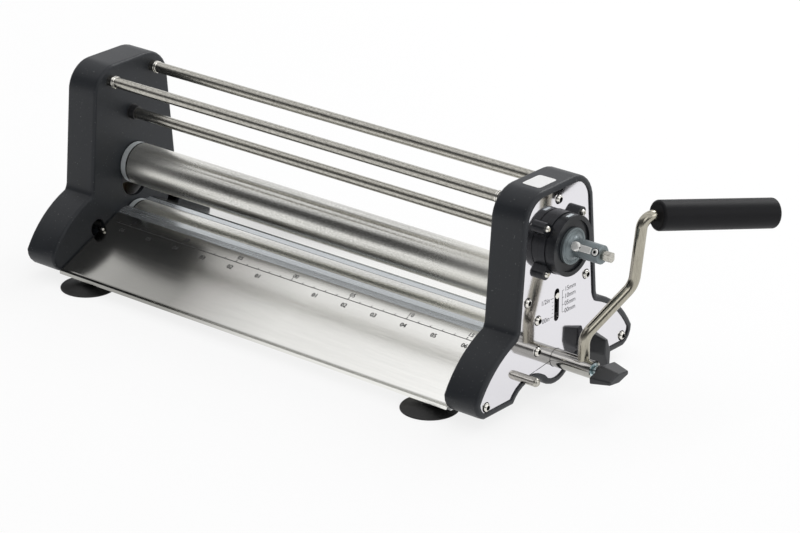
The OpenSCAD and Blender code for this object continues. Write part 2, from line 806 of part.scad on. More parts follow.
// Counter housing: drum with a raised ring and four ears, bored for the hub's sleeve
module counter_housing() {
    drum_x = plate_x + drum_len;
    color("#17181a") placed() difference() {
        union() {
            bar(plate_x, drum_base_t, drum_r + drum_step, 0, adjust_z);
            bar(plate_x, drum_len - drum_ring_t, drum_r - drum_step, 0, adjust_z);
            bar(plate_x + drum_base_t + drum_ring_t, drum_len - drum_base_t - drum_ring_t, drum_r, 0,
                adjust_z);
            for (y = [-ear_y, ear_y])
                for (z = [-ear_z, ear_z]) {
                    bar(plate_x, ear_len, ear_r, y, adjust_z + z);
                    translate([plate_x, 0, adjust_z]) rotate([atan2(z, y), 0, 0]) translate([0, 0, -ear_r])
                        cube([ear_len, norm([y, z]), 2 * ear_r]);
                }
        }
        bar(drum_x - drum_ring_t, drum_ring_t + overrun, drum_r - drum_ring_w / 2, 0, adjust_z);
        bar(hub_x - hub_disc_t - seat, hub_disc_t + overrun, hub_disc_r + loose, 0, adjust_z);
        bar(plate_x - overrun, drum_len + 2 * overrun, hub_sleeve_r + fit, 0, adjust_z);
        for (y = [-ear_y, ear_y])
            for (z = [-ear_z, ear_z])
                bar(plate_x - overrun, ear_len + 2 * overrun, ear_screw_d / 2 + fit, y, adjust_z + z);
        translate([window_x - window_len / 2, -window_w / 2, adjust_z + drum_r - window_t])
            cube([window_len, window_w, window_t + overrun]);
    }
}

window_x = plate_x + (drum_base_t + drum_ring_t + drum_len) / 2;

module counter_window() {
    color("#b8c4c6") placed()
        translate([window_x - window_len / 2 + seat, -window_w / 2 + seat, adjust_z + drum_r - window_t])
        cube([window_len - 2 * seat, window_w - 2 * seat, window_t - seat]);
}

module counter_screws() {
    color("#d6d6d2") placed()
        for (y = [-ear_y, ear_y])
            for (z = [-ear_z, ear_z])
                button_screw(y, adjust_z + z, ear_screw_d, ear_screw_head_d, screw_head_h,
                    ear_len + plate_t - seat, plate_x + ear_len);
}

// Brackets under the trays that carry the suction cups
foot_rivet_d = 3;
foot_rivet_head_share = 0.9;
foot_rivet_spare = 0.8;
foot_rivet_depth = inner_wall - foot_rivet_spare;
foot_rivet_in = 9;
foot_rivet_y = foot_inner_y + foot_rivet_in;
foot_rivet_z = bracket_low_z + foot_flange_h - foot_rivet_spare;

module foot_bracket() {
    difference() {
        union() {
            translate([face_x - foot_bracket_w, -foot_bracket_half, bracket_low_z])
                cube([foot_bracket_w - seat, 2 * foot_bracket_half, foot_bracket_t]);
            for (s = [-1, 1])
                translate([face_x - foot_bracket_t - seat, s * foot_rivet_y - foot_flange_h,
                    bracket_low_z])
                    cube([foot_bracket_t, 2 * foot_flange_h, foot_flange_h + foot_bracket_t]);
        }
        for (s = [-1, 1]) {
            bar(face_x - foot_bracket_w, foot_bracket_w + overrun, foot_rivet_d / 2 + fit,
                s * foot_rivet_y, foot_rivet_z);
            translate([face_x - cup_inset, s * cup_y, bracket_low_z - overrun])
                cylinder(h = foot_bracket_t + 2 * overrun, r = cup_stud_d / 2 + fit);
        }
    }
    for (s = [-1, 1])
        translate([0, s * foot_rivet_y, foot_rivet_z])
            foot_rivet();
}

// A rivet through the bracket's flange into the casing's inner wall
module foot_rivet() {
    head_r = foot_rivet_d * foot_rivet_head_share;
    head_t = foot_rivet_d / 3;
    bar(face_x - foot_bracket_t - seat - head_t, head_t, head_r);
    bar(face_x - foot_bracket_t - seat, foot_bracket_t + foot_rivet_depth, foot_rivet_d / 2);
}

module right_foot_bracket() {
    color("#8f9092") placed() foot_bracket();
}

module left_foot_bracket() {
    color("#8f9092") placed() turned() foot_bracket();
}

// Suction cups
module cup_shape() {
    neck_top = bracket_low_z;
    rim_r = cup_d / 2;
    crown_r = rim_r * cup_crown_share;
    rotate_extrude() polygon([[0, neck_top], [cup_neck_r, neck_top], [cup_neck_r, cup_crown_z],
        [crown_r, cup_crown_z - cup_rim_t], [rim_r, cup_rim_t], [rim_r, 0], [rim_r - cup_rim_t, 0],
        [crown_r, cup_rim_t], [cup_neck_r, cup_crown_z - 2 * cup_rim_t], [0, cup_crown_z - 2 * cup_rim_t]]);
}

module cup_at(sx, sy) {
    color("#141414") placed() translate([sx * (face_x - cup_inset), sy * cup_y, 0]) difference() {
        cup_shape();
        translate([0, 0, cup_crown_z - cup_rim_t]) cylinder(h = neck_depth, r = cup_stud_d / 2 + fit);
    }
}

neck_depth = bracket_low_z;

module front_right_cup() {
    cup_at(1, -1);
}

module rear_right_cup() {
    cup_at(1, 1);
}

module front_left_cup() {
    cup_at(-1, -1);
}

module rear_left_cup() {
    cup_at(-1, 1);
}

module cup_studs() {
    head_z = bracket_low_z + foot_bracket_t;
    color("#c9c9c6") placed()
        for (sx = [-1, 1])
            for (sy = [-1, 1])
                translate([sx * (face_x - cup_inset), sy * cup_y, 0]) {
                    translate([0, 0, cup_crown_z - cup_rim_t + seat])
                        cylinder(h = head_z - cup_crown_z + cup_rim_t, r = cup_stud_d / 2);
                    translate([0, 0, head_z]) cylinder(h = cup_stud_head_h, r = cup_stud_head_d / 2);
                }
}

module rating_label() {
    color("#f2f2ef") placed()
        translate([label_x - label_w / 2, label_y - label_len / 2, top_z])
        linear_extrude(label_t) union() {
            translate([label_r, 0]) square([label_w - 2 * label_r, label_len]);
            translate([0, label_r]) square([label_w, label_len - 2 * label_r]);
            for (x = [label_r, label_w - label_r])
                for (y = [label_r, label_len - label_r])
                    translate([x, y]) circle(r = label_r);
        }
}

// Rollers
roller_half = face_x - roller_end_gap;

module roller_tube(z) {
    difference() {
        bar(-roller_half, 2 * roller_half, roller_r, 0, z);
        bar(-roller_half - overrun, 2 * (roller_half + overrun), roller_r - roller_wall, 0, z);
    }
}

module roller_plugs(z) {
    both_ends() difference() {
        bar(roller_half - plug_len, plug_len - seat, roller_r - roller_wall - fit / 2, 0, z);
        bar(roller_half - plug_len - overrun, plug_len + 2 * overrun, axle_d / 2 + fit / 2, 0, z);
    }
}

module lower_roller() {
    color("#bdb9ae") placed() roller_tube(lower_axis_h);
}

module lower_plugs() {
    color("#8a8a86") placed() roller_plugs(lower_axis_h);
}

module upper_roller() {
    color("#bdb9ae") placed() roller_tube(upper_axis_z);
}

module upper_plugs() {
    color("#8a8a86") placed() roller_plugs(upper_axis_z);
}

module upper_axle() {
    axle_half = block_x + bush_len;
    color("#c8c8c4") placed() bar(-axle_half, 2 * axle_half, axle_d / 2, 0, upper_axis_z);
}

// Drive shaft, open at its outer end, with a cross hole for the crank arm's foot
drive_end_out = 3;
drive_left_x = cavity_x + bearing_boss_len + bush_flange_t + drive_end_out;

module drive_shaft() {
    color("#cfcfcb") placed() difference() {
        bar(-drive_left_x, drive_left_x + socket_end_x, axle_d / 2, 0, lower_axis_h);
        bar(socket_end_x - socket_depth, socket_depth + overrun, socket_bore_r, 0, lower_axis_h);
        translate([arm_x, 0, lower_axis_h]) cylinder(h = axle_d, r = arm_d / 2 + fit);
    }
}

// Threaded plug in the open end, and the bolt that clamps the arm's foot
module crank_plug() {
    plug_x = socket_end_x - bolt_plug_len - overrun;
    color("#9d9d99") placed() difference() {
        bar(plug_x, bolt_plug_len, socket_bore_r - fit / 2, 0, lower_axis_h);
        bar(plug_x - overrun, bolt_plug_len + 2 * overrun, bolt_d / 2 + fit, 0, lower_axis_h);
    }
}

bolt_x = arm_x + arm_d / 2 + loose;
crank_knob_x = socket_end_x + crank_knob_gap;

module crank_bolt() {
    bolt_end = crank_knob_x + knob_boss_len + wing_depth / 2;
    color("#cfd6d6") placed() bar(bolt_x, bolt_end - bolt_x, bolt_d / 2, 0, lower_axis_h);
}

// A wing knob along +X: a round boss, then wings that narrow to their outer end
module wing_knob(bore_r, bore_depth) {
    difference() {
        union() {
            bar(0, knob_boss_len + overrun, knob_boss_r);
            translate([knob_boss_len, 0, 0]) hull() {
                slab(0, wing_slice, wing_section(wing_len, wing_w, wing_tip_w));
                slab(wing_depth - wing_slice, wing_slice,
                    wing_section(wing_end_len, wing_end_w, wing_end_tip_w));
            }
        }
        bar(-overrun, bore_depth + overrun, bore_r);
    }
}

// Thick in the middle and thin at both tips
function wing_section(long, mid_w, tip_w) = [
    [-long / 2, -tip_w / 2], [0, -mid_w / 2], [long / 2, -tip_w / 2],
    [long / 2, tip_w / 2], [0, mid_w / 2], [-long / 2, tip_w / 2]];

module crank_knob() {
    color("#1d1e20") placed() translate([crank_knob_x, 0, lower_axis_h])
        rotate([90 - crank_knob_tilt, 0, 0])
        wing_knob(bolt_d / 2 + fit / 2, knob_boss_len + wing_depth / 2 + fit);
}

module tray_knob() {
    translate([tray_knob_x, tray_rod_y, tray_rod_z]) rotate([90 + tray_knob_tilt, 0, 0])
        wing_knob(stud_d / 2 + fit, stud_len + loose);
}

module rear_tray_knob() {
    color("#1d1e20") placed() tray_knob();
}

module front_tray_knob() {
    color("#1d1e20") placed() turned() tray_knob();
}

// Crank arm: a bent rod in one plane, its end turned down as the grip's spindle
arm_points = [[0, -arm_foot], [0, bend1_h], [bend2_out, bend2_h], [bend3_out, bend3_h],
    [grip_start_out + grip_run, bend3_h - (grip_start_out + grip_run - bend3_out) * tan(grip_droop)]];
function heading(i) =
    let (d = arm_points[i + 1] - arm_points[i]) atan2(d[1], d[0]);
function bend_turn(i) = heading(i) - heading(i - 1);
function bend_cut(i) = bend_r[i - 1] * tan(abs(bend_turn(i)) / 2);
function stretch(i) = norm(arm_points[i + 1] - arm_points[i]);

// One straight stretch in the arm's plane, with out along X and up along Z
module arm_stretch(i, from, to, r) {
    translate([arm_points[i][0], 0, arm_points[i][1]]) rotate([0, 90 - heading(i), 0])
        translate([0, 0, from]) cylinder(h = to - from, r = r);
}

module arm_bend(i) {
    turn = bend_turn(i);
    side = sign(turn);
    start = arm_points[i] - bend_cut(i) * [cos(heading(i - 1)), sin(heading(i - 1))];
    centre = start + side * bend_r[i - 1] * [-sin(heading(i - 1)), cos(heading(i - 1))];
    first = heading(i - 1) - side * 90 + min(0, turn);
    translate([centre[0], 0, centre[1]]) rotate([90, 0, 0]) rotate([0, 0, first])
        rotate_extrude(angle = abs(turn)) translate([bend_r[i - 1], 0]) circle(r = arm_d / 2 - bend_thin);
}

module crank_arm() {
    spindle_to = (grip_start_out + grip_run - bend3_out) / cos(grip_droop) - grip_recess - seat;
    color("#c9c7be") placed() translate([arm_x, 0, lower_axis_h]) rotate([0, 0, arm_swivel]) {
        arm_stretch(0, 0, stretch(0) - bend_cut(1) + bend_lap, arm_d / 2);
        for (i = [1:3])
            arm_bend(i);
        for (i = [1:2])
            arm_stretch(i, bend_cut(i) - bend_lap, stretch(i) - bend_cut(i + 1) + bend_lap, arm_d / 2);
        arm_stretch(3, bend_cut(3) - bend_lap, spindle_to, spindle_d / 2);
    }
}

// Puts a piece on the grip's axis, +Z along it from the grip's inner end
module on_grip() {
    grip_start = (grip_start_out - bend3_out) / cos(grip_droop);
    translate([arm_x, 0, lower_axis_h]) rotate([0, 0, arm_swivel])
        translate([arm_points[3][0], 0, arm_points[3][1]]) rotate([0, 90 + grip_droop, 0])
        translate([0, 0, grip_start]) children();
}

module crank_grip() {
    r = grip_d / 2;
    e = grip_edge_r;
    color("#1a1a1b") placed() on_grip() difference() {
        rotate_extrude() union() {
            square([r - e, grip_len]);
            translate([0, e]) square([r, grip_len - 2 * e]);
            for (z = [e, grip_len - e])
                translate([r - e, z]) circle(r = e);
        }
        translate([0, 0, -overrun]) cylinder(h = grip_len + 2 * overrun, r = spindle_d / 2 + fit);
        translate([0, 0, grip_len - grip_recess])
            cylinder(h = grip_recess + overrun, r = grip_screw_d / 2 + loose);
    }
}

module grip_screw() {
    color("#c9c9c6") placed() on_grip() translate([0, 0, grip_len - grip_recess + seat]) difference() {
        cylinder(h = grip_screw_h, r = grip_screw_d / 2);
        translate([0, 0, grip_screw_h / 2]) cylinder(h = grip_screw_h, r = socket_af, $fn = 6);
    }
}

// Bearing blocks with a bore for the axle's bush and one for the lead screw
block_low_z = upper_axis_z - block_h / 2;

module block_shape() {
    difference() {
        translate([block_x, -block_w / 2, block_low_z]) cube([block_depth, block_w, block_h]);
        bar(block_x - overrun, bush_len + overrun + seat, axle_d / 2 + bush_wall + fit / 2, 0,
            upper_axis_z);
        translate([lead_x, 0, block_low_z - overrun])
            cylinder(h = block_h + 2 * overrun, r = lead_d / 2 + fit);
    }
}

module right_bearing_block() {
    color("#3a3a3c") placed() difference() {
        block_shape();
        bar(block_x + block_depth - pointer_seat, pointer_seat + overrun, pointer_d / 2 + fit, 0,
            upper_axis_z);
    }
}

pointer_seat = 1.2;

module left_bearing_block() {
    color("#3a3a3c") placed() turned() block_shape();
}

module upper_bushes() {
    color("#b08d57") placed() both_ends() difference() {
        bar(block_x, bush_len, axle_d / 2 + bush_wall, 0, upper_axis_z);
        bar(block_x - overrun, bush_len + 2 * overrun, axle_d / 2 + fit, 0, upper_axis_z);
    }
}

module gap_pointer() {
    pointer_x = block_x + block_depth - pointer_seat + seat;
    color("#c9c9c6") placed()
        bar(pointer_x, plate_x + pointer_out - pointer_x, pointer_d / 2, 0, upper_axis_z);
}

// Adjusting shaft, its gears and its hub
hub_x = plate_x + drum_len + hub_proud;
hub_end_x = plate_x + drum_len + hub_len;
shaft_left_x = lead_x + bevel_hub_r;

module adjusting_shaft() {
    end_x = hub_end_x - hub_screw_setback;
    color("#b9b4a8") placed() {
        bar(-shaft_left_x, shaft_left_x + end_x, rod_d / 2, 0, adjust_z);
        intersection() {
            bar(end_x - overrun, hub_end_x + stub_len - end_x + overrun, stub_d / 2, 0, adjust_z);
            translate([end_x - overrun, -stub_flat / 2, adjust_z - stub_d])
                cube([hub_end_x + stub_len - end_x + overrun, stub_flat, 2 * stub_d]);
        }
    }
}

// A bevel gear under its apex: teeth rise from the root cone towards the mating gear
module bevel_gear(bore_r, hub_len, phase) {
    root = [bevel_r - bevel_ded * cos(45), -bevel_r - bevel_ded * sin(45)];
    toe = (bevel_r - bevel_face) / bevel_r;
    difference() {
        union() {
            rotate_extrude() polygon([[0, root[1] - hub_len], [bevel_hub_r, root[1] - hub_len],
                [bevel_hub_r, root[1]], root, root * toe, [0, root[1] * toe]]);
            for (k = [0:bevel_teeth - 1])
                rotate([0, 0, 360 * (k + phase) / bevel_teeth]) bevel_tooth(toe);
        }
        translate([0, 0, root[1] - hub_len - overrun])
            cylinder(h = bevel_r + hub_len + 2 * overrun, r = bore_r);
    }
}

module bevel_tooth(toe) {
    low = bevel_ded * bevel_sink;
    section = [[bevel_r - low * cos(45), -bevel_root_w / 2, -bevel_r - low * sin(45)],
        [bevel_r - low * cos(45), bevel_root_w / 2, -bevel_r - low * sin(45)],
        [bevel_r + bevel_add * cos(45), bevel_tip_w / 2, -bevel_r + bevel_add * sin(45)],
        [bevel_r + bevel_add * cos(45), -bevel_tip_w / 2, -bevel_r + bevel_add * sin(45)]];
    points = concat(section, section * toe);
    polyhedron(points, [[3, 2, 1, 0], [4, 5, 6, 7], [0, 1, 5, 4], [1, 2, 6, 5],
        [2, 3, 7, 6], [3, 0, 4, 7]]);
}

screw_hub_len = adjust_z - bevel_r - bevel_ded * sin(45) - (bracket_z + bracket_t + loose);
shaft_hub_len = 0.8;

module shaft_bevels() {
    color("#8b8b88") placed() both_ends() translate([lead_x, 0, adjust_z]) rotate([0, 90, 0])
        bevel_gear(rod_d / 2 + fit / 2, shaft_hub_len, 0.5);
}

module adjuster_hub() {
    flare = hub_neck_r + hub_flare_r;
    back = hub_x - hub_disc_t - plate_x - loose;
    color("#8b969b") placed() translate([hub_x, 0, adjust_z]) rotate([0, 90, 0]) difference() {
        rotate_extrude() difference() {
            polygon([[0, -hub_disc_t - back], [hub_sleeve_r, -hub_disc_t - back],
                [hub_sleeve_r, -hub_disc_t + loose],
                [hub_disc_r, -hub_disc_t + loose], [hub_disc_r, 0], [hub_disc_r - hub_rim_w, 0],
                [hub_disc_r - hub_rim_w - hub_dish, -hub_dish], [flare + hub_dish, -hub_dish], [flare, 0],
                [hub_neck_r, hub_flare_r], [hub_neck_r, hub_end_x - hub_x - hub_edge],
                [hub_neck_r - hub_edge, hub_end_x - hub_x], [0, hub_end_x - hub_x]]);
            translate([flare, hub_flare_r]) circle(r = hub_flare_r - seat);
        }
        translate([0, 0, -hub_disc_t - back - overrun])
            cylinder(h = hub_end_x - hub_screw_setback - hub_x + hub_disc_t + back + overrun + seat,
                r = rod_d / 2 + fit / 2);
        cylinder(h = hub_end_x - hub_x + overrun, r = stub_d / 2 + fit);
        rotate([0, 0, key_turn]) {
            translate([hub_neck_r - key_t, -key_w / 2 - seat, key_from])
                cube([key_t + hub_disc_r, key_w + 2 * seat, key_len + key_head_r]);
            translate([hub_neck_r - key_t, 0, key_from + key_head_r + seat]) rotate([0, 90, 0])
                cylinder(h = key_t + hub_disc_r, r = key_head_r + seat);
            translate([0, 0, hub_end_x - hub_x - hub_screw_setback - hub_screw_r]) rotate([0, 90, 0])
                cylinder(h = hub_disc_r, r = hub_screw_r + fit);
        }
    }
}

hub_edge = 0.8;
key_from = 2.4;
key_turn = -90 - key_angle;

module on_key_side() {
    translate([hub_x, 0, adjust_z]) rotate([0, 90, 0]) rotate([0, 0, key_turn]) children();
}

module hub_key() {
    low = hub_neck_r - key_t + seat;
    color("#e2e2df") placed() on_key_side() difference() {
        union() {
            translate([low, -key_w / 2, key_from + seat])
                cube([key_t, key_w, key_len + key_head_r - 2 * seat]);
            translate([low + key_t / 2, 0, key_from + key_head_r + seat]) rotate([0, 90, 0])
                cylinder(h = key_t, r = key_head_r);
        }
        translate([low, 0, key_from + key_hole_share * key_head_r]) rotate([0, 90, 0])
            cylinder(h = 2 * key_t, r = key_hole_r);
    }
}

module hub_screw() {
    inner_r = rod_d / 2 + seat;
    color("#d2d2cf") placed() on_key_side()
        translate([inner_r, 0, hub_end_x - hub_x - hub_screw_setback - hub_screw_r])
        rotate([0, 90, 0]) difference() {
            cylinder(h = hub_neck_r - inner_r, r = hub_screw_r);
            translate([0, 0, (hub_neck_r - inner_r) / 2])
                cylinder(h = hub_neck_r, r = socket_af / 2, $fn = 6);
        }
}

// Lead screws: a collar under the bracket, the gear above it
module lead_screw_shape() {
    top_z = adjust_z - rod_d / 2 - loose - bevel_add;
    translate([lead_x, 0, 0]) {
        translate([0, 0, lead_low_z]) cylinder(h = top_z - lead_low_z, r = lead_d / 2);
        translate([0, 0, bracket_z - collar_t - loose]) cylinder(h = collar_t, r = collar_r);
    }
}

module right_lead_screw() {
    color("#b8b8b4") placed() lead_screw_shape();
}

module left_lead_screw() {
    color("#b8b8b4") placed() turned() lead_screw_shape();
}

module screw_bevel() {
    translate([lead_x, 0, adjust_z]) bevel_gear(lead_d / 2 + fit / 2, screw_hub_len, 0);
}

module right_screw_bevel() {
    color("#8b8b88") placed() screw_bevel();
}

module left_screw_bevel() {
    color("#8b8b88") placed() turned() screw_bevel();
}

right_casing();
left_casing();
right_side_plate();
left_side_plate();
right_plate_screws();
left_plate_screws();
rail_screws();
guide_rails();
front_guard_rod();
rear_guard_rod();
guard_rod_screws();
shaft_bushes();
lower_bearings();
front_tray();
rear_tray();
front_scraper();
rear_scraper();
front_tray_rod();
rear_tray_rod();
screw_brackets();
counter_housing();
counter_window();
counter_screws();
right_foot_bracket();
left_foot_bracket();
front_right_cup();
rear_right_cup();
front_left_cup();
rear_left_cup();
cup_studs();
rating_label();
lower_roller();
lower_plugs();
drive_shaft();
crank_plug();
crank_bolt();
crank_knob();
front_tray_knob();
rear_tray_knob();
crank_arm();
grip_screw();
crank_grip();
right_bearing_block();
left_bearing_block();
upper_bushes();
gap_pointer();
upper_roller();
upper_plugs();
upper_axle();
adjusting_shaft();
shaft_bevels();
adjuster_hub();
hub_key();
hub_screw();
right_lead_screw();
left_lead_screw();
right_screw_bevel();
left_screw_bevel();
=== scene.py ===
import json
import math
import bpy
from mathutils import Euler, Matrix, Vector

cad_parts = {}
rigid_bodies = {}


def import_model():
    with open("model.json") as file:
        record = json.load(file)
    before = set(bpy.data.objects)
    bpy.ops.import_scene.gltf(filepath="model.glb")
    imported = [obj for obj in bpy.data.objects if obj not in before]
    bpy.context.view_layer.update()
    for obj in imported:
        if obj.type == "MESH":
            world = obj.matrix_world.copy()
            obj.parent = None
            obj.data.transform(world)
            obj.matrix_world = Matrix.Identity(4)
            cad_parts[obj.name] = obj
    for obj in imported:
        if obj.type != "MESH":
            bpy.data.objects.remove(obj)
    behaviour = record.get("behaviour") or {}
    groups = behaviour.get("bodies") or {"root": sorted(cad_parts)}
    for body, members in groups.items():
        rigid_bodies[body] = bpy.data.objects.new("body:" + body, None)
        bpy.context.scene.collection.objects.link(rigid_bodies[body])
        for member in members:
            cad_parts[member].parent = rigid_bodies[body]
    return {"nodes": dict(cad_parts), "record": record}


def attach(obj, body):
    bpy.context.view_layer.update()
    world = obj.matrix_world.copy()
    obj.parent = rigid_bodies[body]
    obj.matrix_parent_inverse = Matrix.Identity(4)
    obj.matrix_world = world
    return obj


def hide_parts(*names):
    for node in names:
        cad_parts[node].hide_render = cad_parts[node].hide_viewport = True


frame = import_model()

mm = 0.001
perMetre = 1000
toCentimetres, toDecimetres = 0.1, 0.01
halfTurn = 180
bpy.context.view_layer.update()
nodes = frame["nodes"]
machineMiddle = (33.9332, 21.4041)  # where the frame's origin lies from the rollers' middle, in mm
weldGap = {"turned": 0.002 * mm, "copied": 0.005 * mm}
bothSides = (1, -1)


# small helpers

def clearSelection():
    if bpy.context.object and bpy.context.object.mode != "OBJECT":
        bpy.ops.object.mode_set(mode="OBJECT")
    for thing in bpy.context.view_layer.objects:
        thing.select_set(False)


def pick(*pieces):
    clearSelection()
    for piece in pieces:
        piece.select_set(True)
    bpy.context.view_layer.objects.active = pieces[0]


def newest(name):
    piece = bpy.context.object
    piece.name = name
    return piece


def spot(x, y, z):
    # millimetres from the machine's own middle, turned into the frame's metres
    return ((x - machineMiddle[0]) * mm, (y - machineMiddle[1]) * mm, z * mm)


def keepPlace(piece):
    # the piece's place, turn and scale go into its mesh
    pick(piece)
    bpy.ops.object.transform_apply(location=True, rotation=True, scale=True)
    return piece


def settle(piece, place=(0, 0, 0), turn=(0, 0, 0)):
    # takes a piece modelled at the origin to its place
    piece.location = place
    piece.rotation_euler = [math.radians(angle) for angle in turn]
    return keepPlace(piece)


def twin(piece, name):
    made = piece.copy()
    made.data = piece.data.copy()
    made.name = name
    bpy.context.collection.objects.link(made)
    return made


def joined(name, pieces):
    pick(*pieces)
    if len(pieces) > 1:
        bpy.ops.object.join()
    return newest(name)


def dress(piece, body, slotName, *replaced, finish=None):
    if finish or not piece.data.materials:
        piece.data.materials.clear()
        piece.data.materials.append(finish or finishes[slotName])
    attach(piece, body)
    if replaced:
        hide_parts(*replaced)
    return piece


def recalculate(piece):
    pick(piece)
    bpy.ops.object.mode_set(mode="EDIT")
    bpy.ops.mesh.select_all(action="SELECT")
    bpy.ops.mesh.remove_doubles(threshold=weldGap["turned"])
    bpy.ops.mesh.normals_make_consistent(inside=False)
    bpy.ops.object.mode_set(mode="OBJECT")
    return piece


def lathe(name, profile, segments):
    # a ring is drawn out and widened step by step up Z; profile is (radius, height) in millimetres
    clearSelection()
    radius, height = profile[0]
    bpy.ops.mesh.primitive_circle_add(vertices=segments, radius=radius * mm,
                                      location=(0, 0, height * mm), enter_editmode=True)
    piece = newest(name)
    bpy.ops.mesh.select_mode(type="VERT")
    bpy.ops.mesh.select_all(action="SELECT")
    for (oldRadius, oldHeight), (newRadius, newHeight) in zip(profile, profile[1:]):
        bpy.ops.mesh.extrude_edges_move()
        bpy.ops.transform.translate(value=(0, 0, (newHeight - oldHeight) * mm))
        share = newRadius / oldRadius
        bpy.ops.transform.resize(value=(share, share, 1), center_override=(0, 0, newHeight * mm))
    bpy.ops.mesh.edge_face_add()
    bpy.ops.mesh.select_all(action="DESELECT")
    bpy.ops.object.mode_set(mode="OBJECT")
    for vertex in piece.data.vertices:
        vertex.select = vertex.index < segments  # the first ring, still open
    bpy.ops.object.mode_set(mode="EDIT")
    bpy.ops.mesh.edge_face_add()
    bpy.ops.object.mode_set(mode="OBJECT")
    return recalculate(keepPlace(piece))


def block(name, place, size):
    clearSelection()
    bpy.ops.mesh.primitive_cube_add(size=1, location=[at * mm for at in place],
                                    scale=[long * mm for long in size])
    return newest(name)


def sidewise(piece, side, place):
    # turns a piece modelled up Z to point along X, to the right or the left
    return settle(piece, spot(*place), (0, 90 * side, 0))


def useModifier(piece, kind, **settings):
    modifier = piece.modifiers.new(kind.lower(), kind)
    for name, value in settings.items():
        setattr(modifier, name, value)
    pick(piece)
    bpy.ops.object.modifier_apply(modifier=modifier.name)
    return piece


def smooth(piece, angle, weighted=True):
    pick(piece)
    bpy.ops.object.shade_smooth_by_angle(angle=math.radians(angle))
    if weighted:
        useModifier(piece, "WEIGHTED_NORMAL", keep_sharp=True)
    return piece


def softened(nodeName, name, angle):
    # a merged copy of a node's mesh, so that its rounded edges can be shaded smooth
    piece = bpy.data.objects.new(name, nodes[nodeName].data.copy())
    bpy.context.collection.objects.link(piece)
    pick(piece)
    bpy.ops.mesh.customdata_custom_splitnormals_clear()
    bpy.ops.object.mode_set(mode="EDIT")
    bpy.ops.mesh.select_all(action="SELECT")
    bpy.ops.mesh.remove_doubles(threshold=weldGap["copied"])
    bpy.ops.object.mode_set(mode="OBJECT")
    return smooth(piece, angle)


# shader maths

mixSet = {"share": 0, "first": 6, "second": 7, "result": 2}  # a colour mix's sockets by number
grainDepth = 0.1 * mm


def rgb(red, green, blue):
    return (red, green, blue, 1.0)


def setStops(ramp, stops):
    while len(ramp.elements) < len(stops):
        ramp.elements.new(0.5)
    for stop, (position, colour) in zip(ramp.elements, stops):
        stop.position = position
        stop.color = colour if hasattr(colour, "__len__") else rgb(colour, colour, colour)


class Value:
    def __init__(self, finish, socket):
        self.finish, self.socket = finish, socket

    def maths(self, operation, other, swapped=False):
        first, second = (other, self) if swapped else (self, other)
        return self.finish.node("ShaderNodeMath", {"operation": operation}, {0: first, 1: second})

    def __add__(self, other):
        return self.maths("ADD", other)

    __radd__ = __add__

    def __sub__(self, other):
        return self.maths("SUBTRACT", other)

    def __rsub__(self, other):
        return self.maths("SUBTRACT", other, True)

    def __mul__(self, other):
        return self.maths("MULTIPLY", other)

    def __truediv__(self, other):
        return self.maths("DIVIDE", other)


class Finish:
    def __init__(self, name, **plain):
        self.material = bpy.data.materials.new(name)
        self.material.use_nodes = True
        self.tree = self.material.node_tree
        self.shader = next(n for n in self.tree.nodes if n.type == "BSDF_PRINCIPLED")
        self.place = self.tree.nodes.new("ShaderNodeTexCoord").outputs["Object"]
        for socket, value in plain.items():
            self.shader.inputs[socket.replace("_", " ")].default_value = value

    def put(self, socket, value):
        if isinstance(value, Value):
            value = value.socket
        if isinstance(value, bpy.types.NodeSocket):
            self.tree.links.new(value, socket)
        else:
            socket.default_value = value

    def node(self, kind, settings, inputs, output=0):
        made = self.tree.nodes.new(kind)
        for name, value in settings.items():
            if name == "stops":
                setStops(made.color_ramp, value)
            else:
                setattr(made, name, value)
        for name, value in inputs.items():
            self.put(made.inputs[name], value)
        return Value(self, made.outputs[output])

    def stretched(self, scale):
        return self.node("ShaderNodeMapping", {}, {"Vector": self.place, "Scale": scale})

    def noise(self, scale, detail, roughness, stretch=(1, 1, 1)):
        return self.node("ShaderNodeTexNoise", {}, {"Vector": self.stretched(stretch), "Scale": scale,
                                                    "Detail": detail, "Roughness": roughness})

    def fromMiddle(self):
        # millimetres to the right of the machine's middle
        across = self.node("ShaderNodeSeparateXYZ", {}, {0: self.place})
        return across * perMetre + machineMiddle[0]

    def endDistance(self, half):
        # millimetres in from the nearer end, for a piece whose ends lie at plus and minus half
        return half - self.node("ShaderNodeMath", {"operation": "ABSOLUTE"}, {0: self.fromMiddle()})

    def alongX(self, start, end):
        # 0 to 1 between two distances in millimetres from the machine's middle
        return (self.fromMiddle() - start) / (end - start)

    def ramp(self, value, *stops):
        return self.node("ShaderNodeValToRGB", {"stops": stops}, {"Fac": value})

    def blend(self, share, first, second):
        inputs = {mixSet["share"]: share, mixSet["first"]: first, mixSet["second"]: second}
        return self.node("ShaderNodeMix", {"data_type": "RGBA"}, inputs, mixSet["result"])

    def bump(self, height, strength):
        inputs = {"Height": height, "Strength": strength, "Distance": grainDepth}
        self.put(self.shader.inputs["Normal"], self.node("ShaderNodeBump", {}, inputs))

    def set(self, **sockets):
        for socket, value in sockets.items():
            self.put(self.shader.inputs[socket.replace("_", " ")], value)


# camera, floor and light

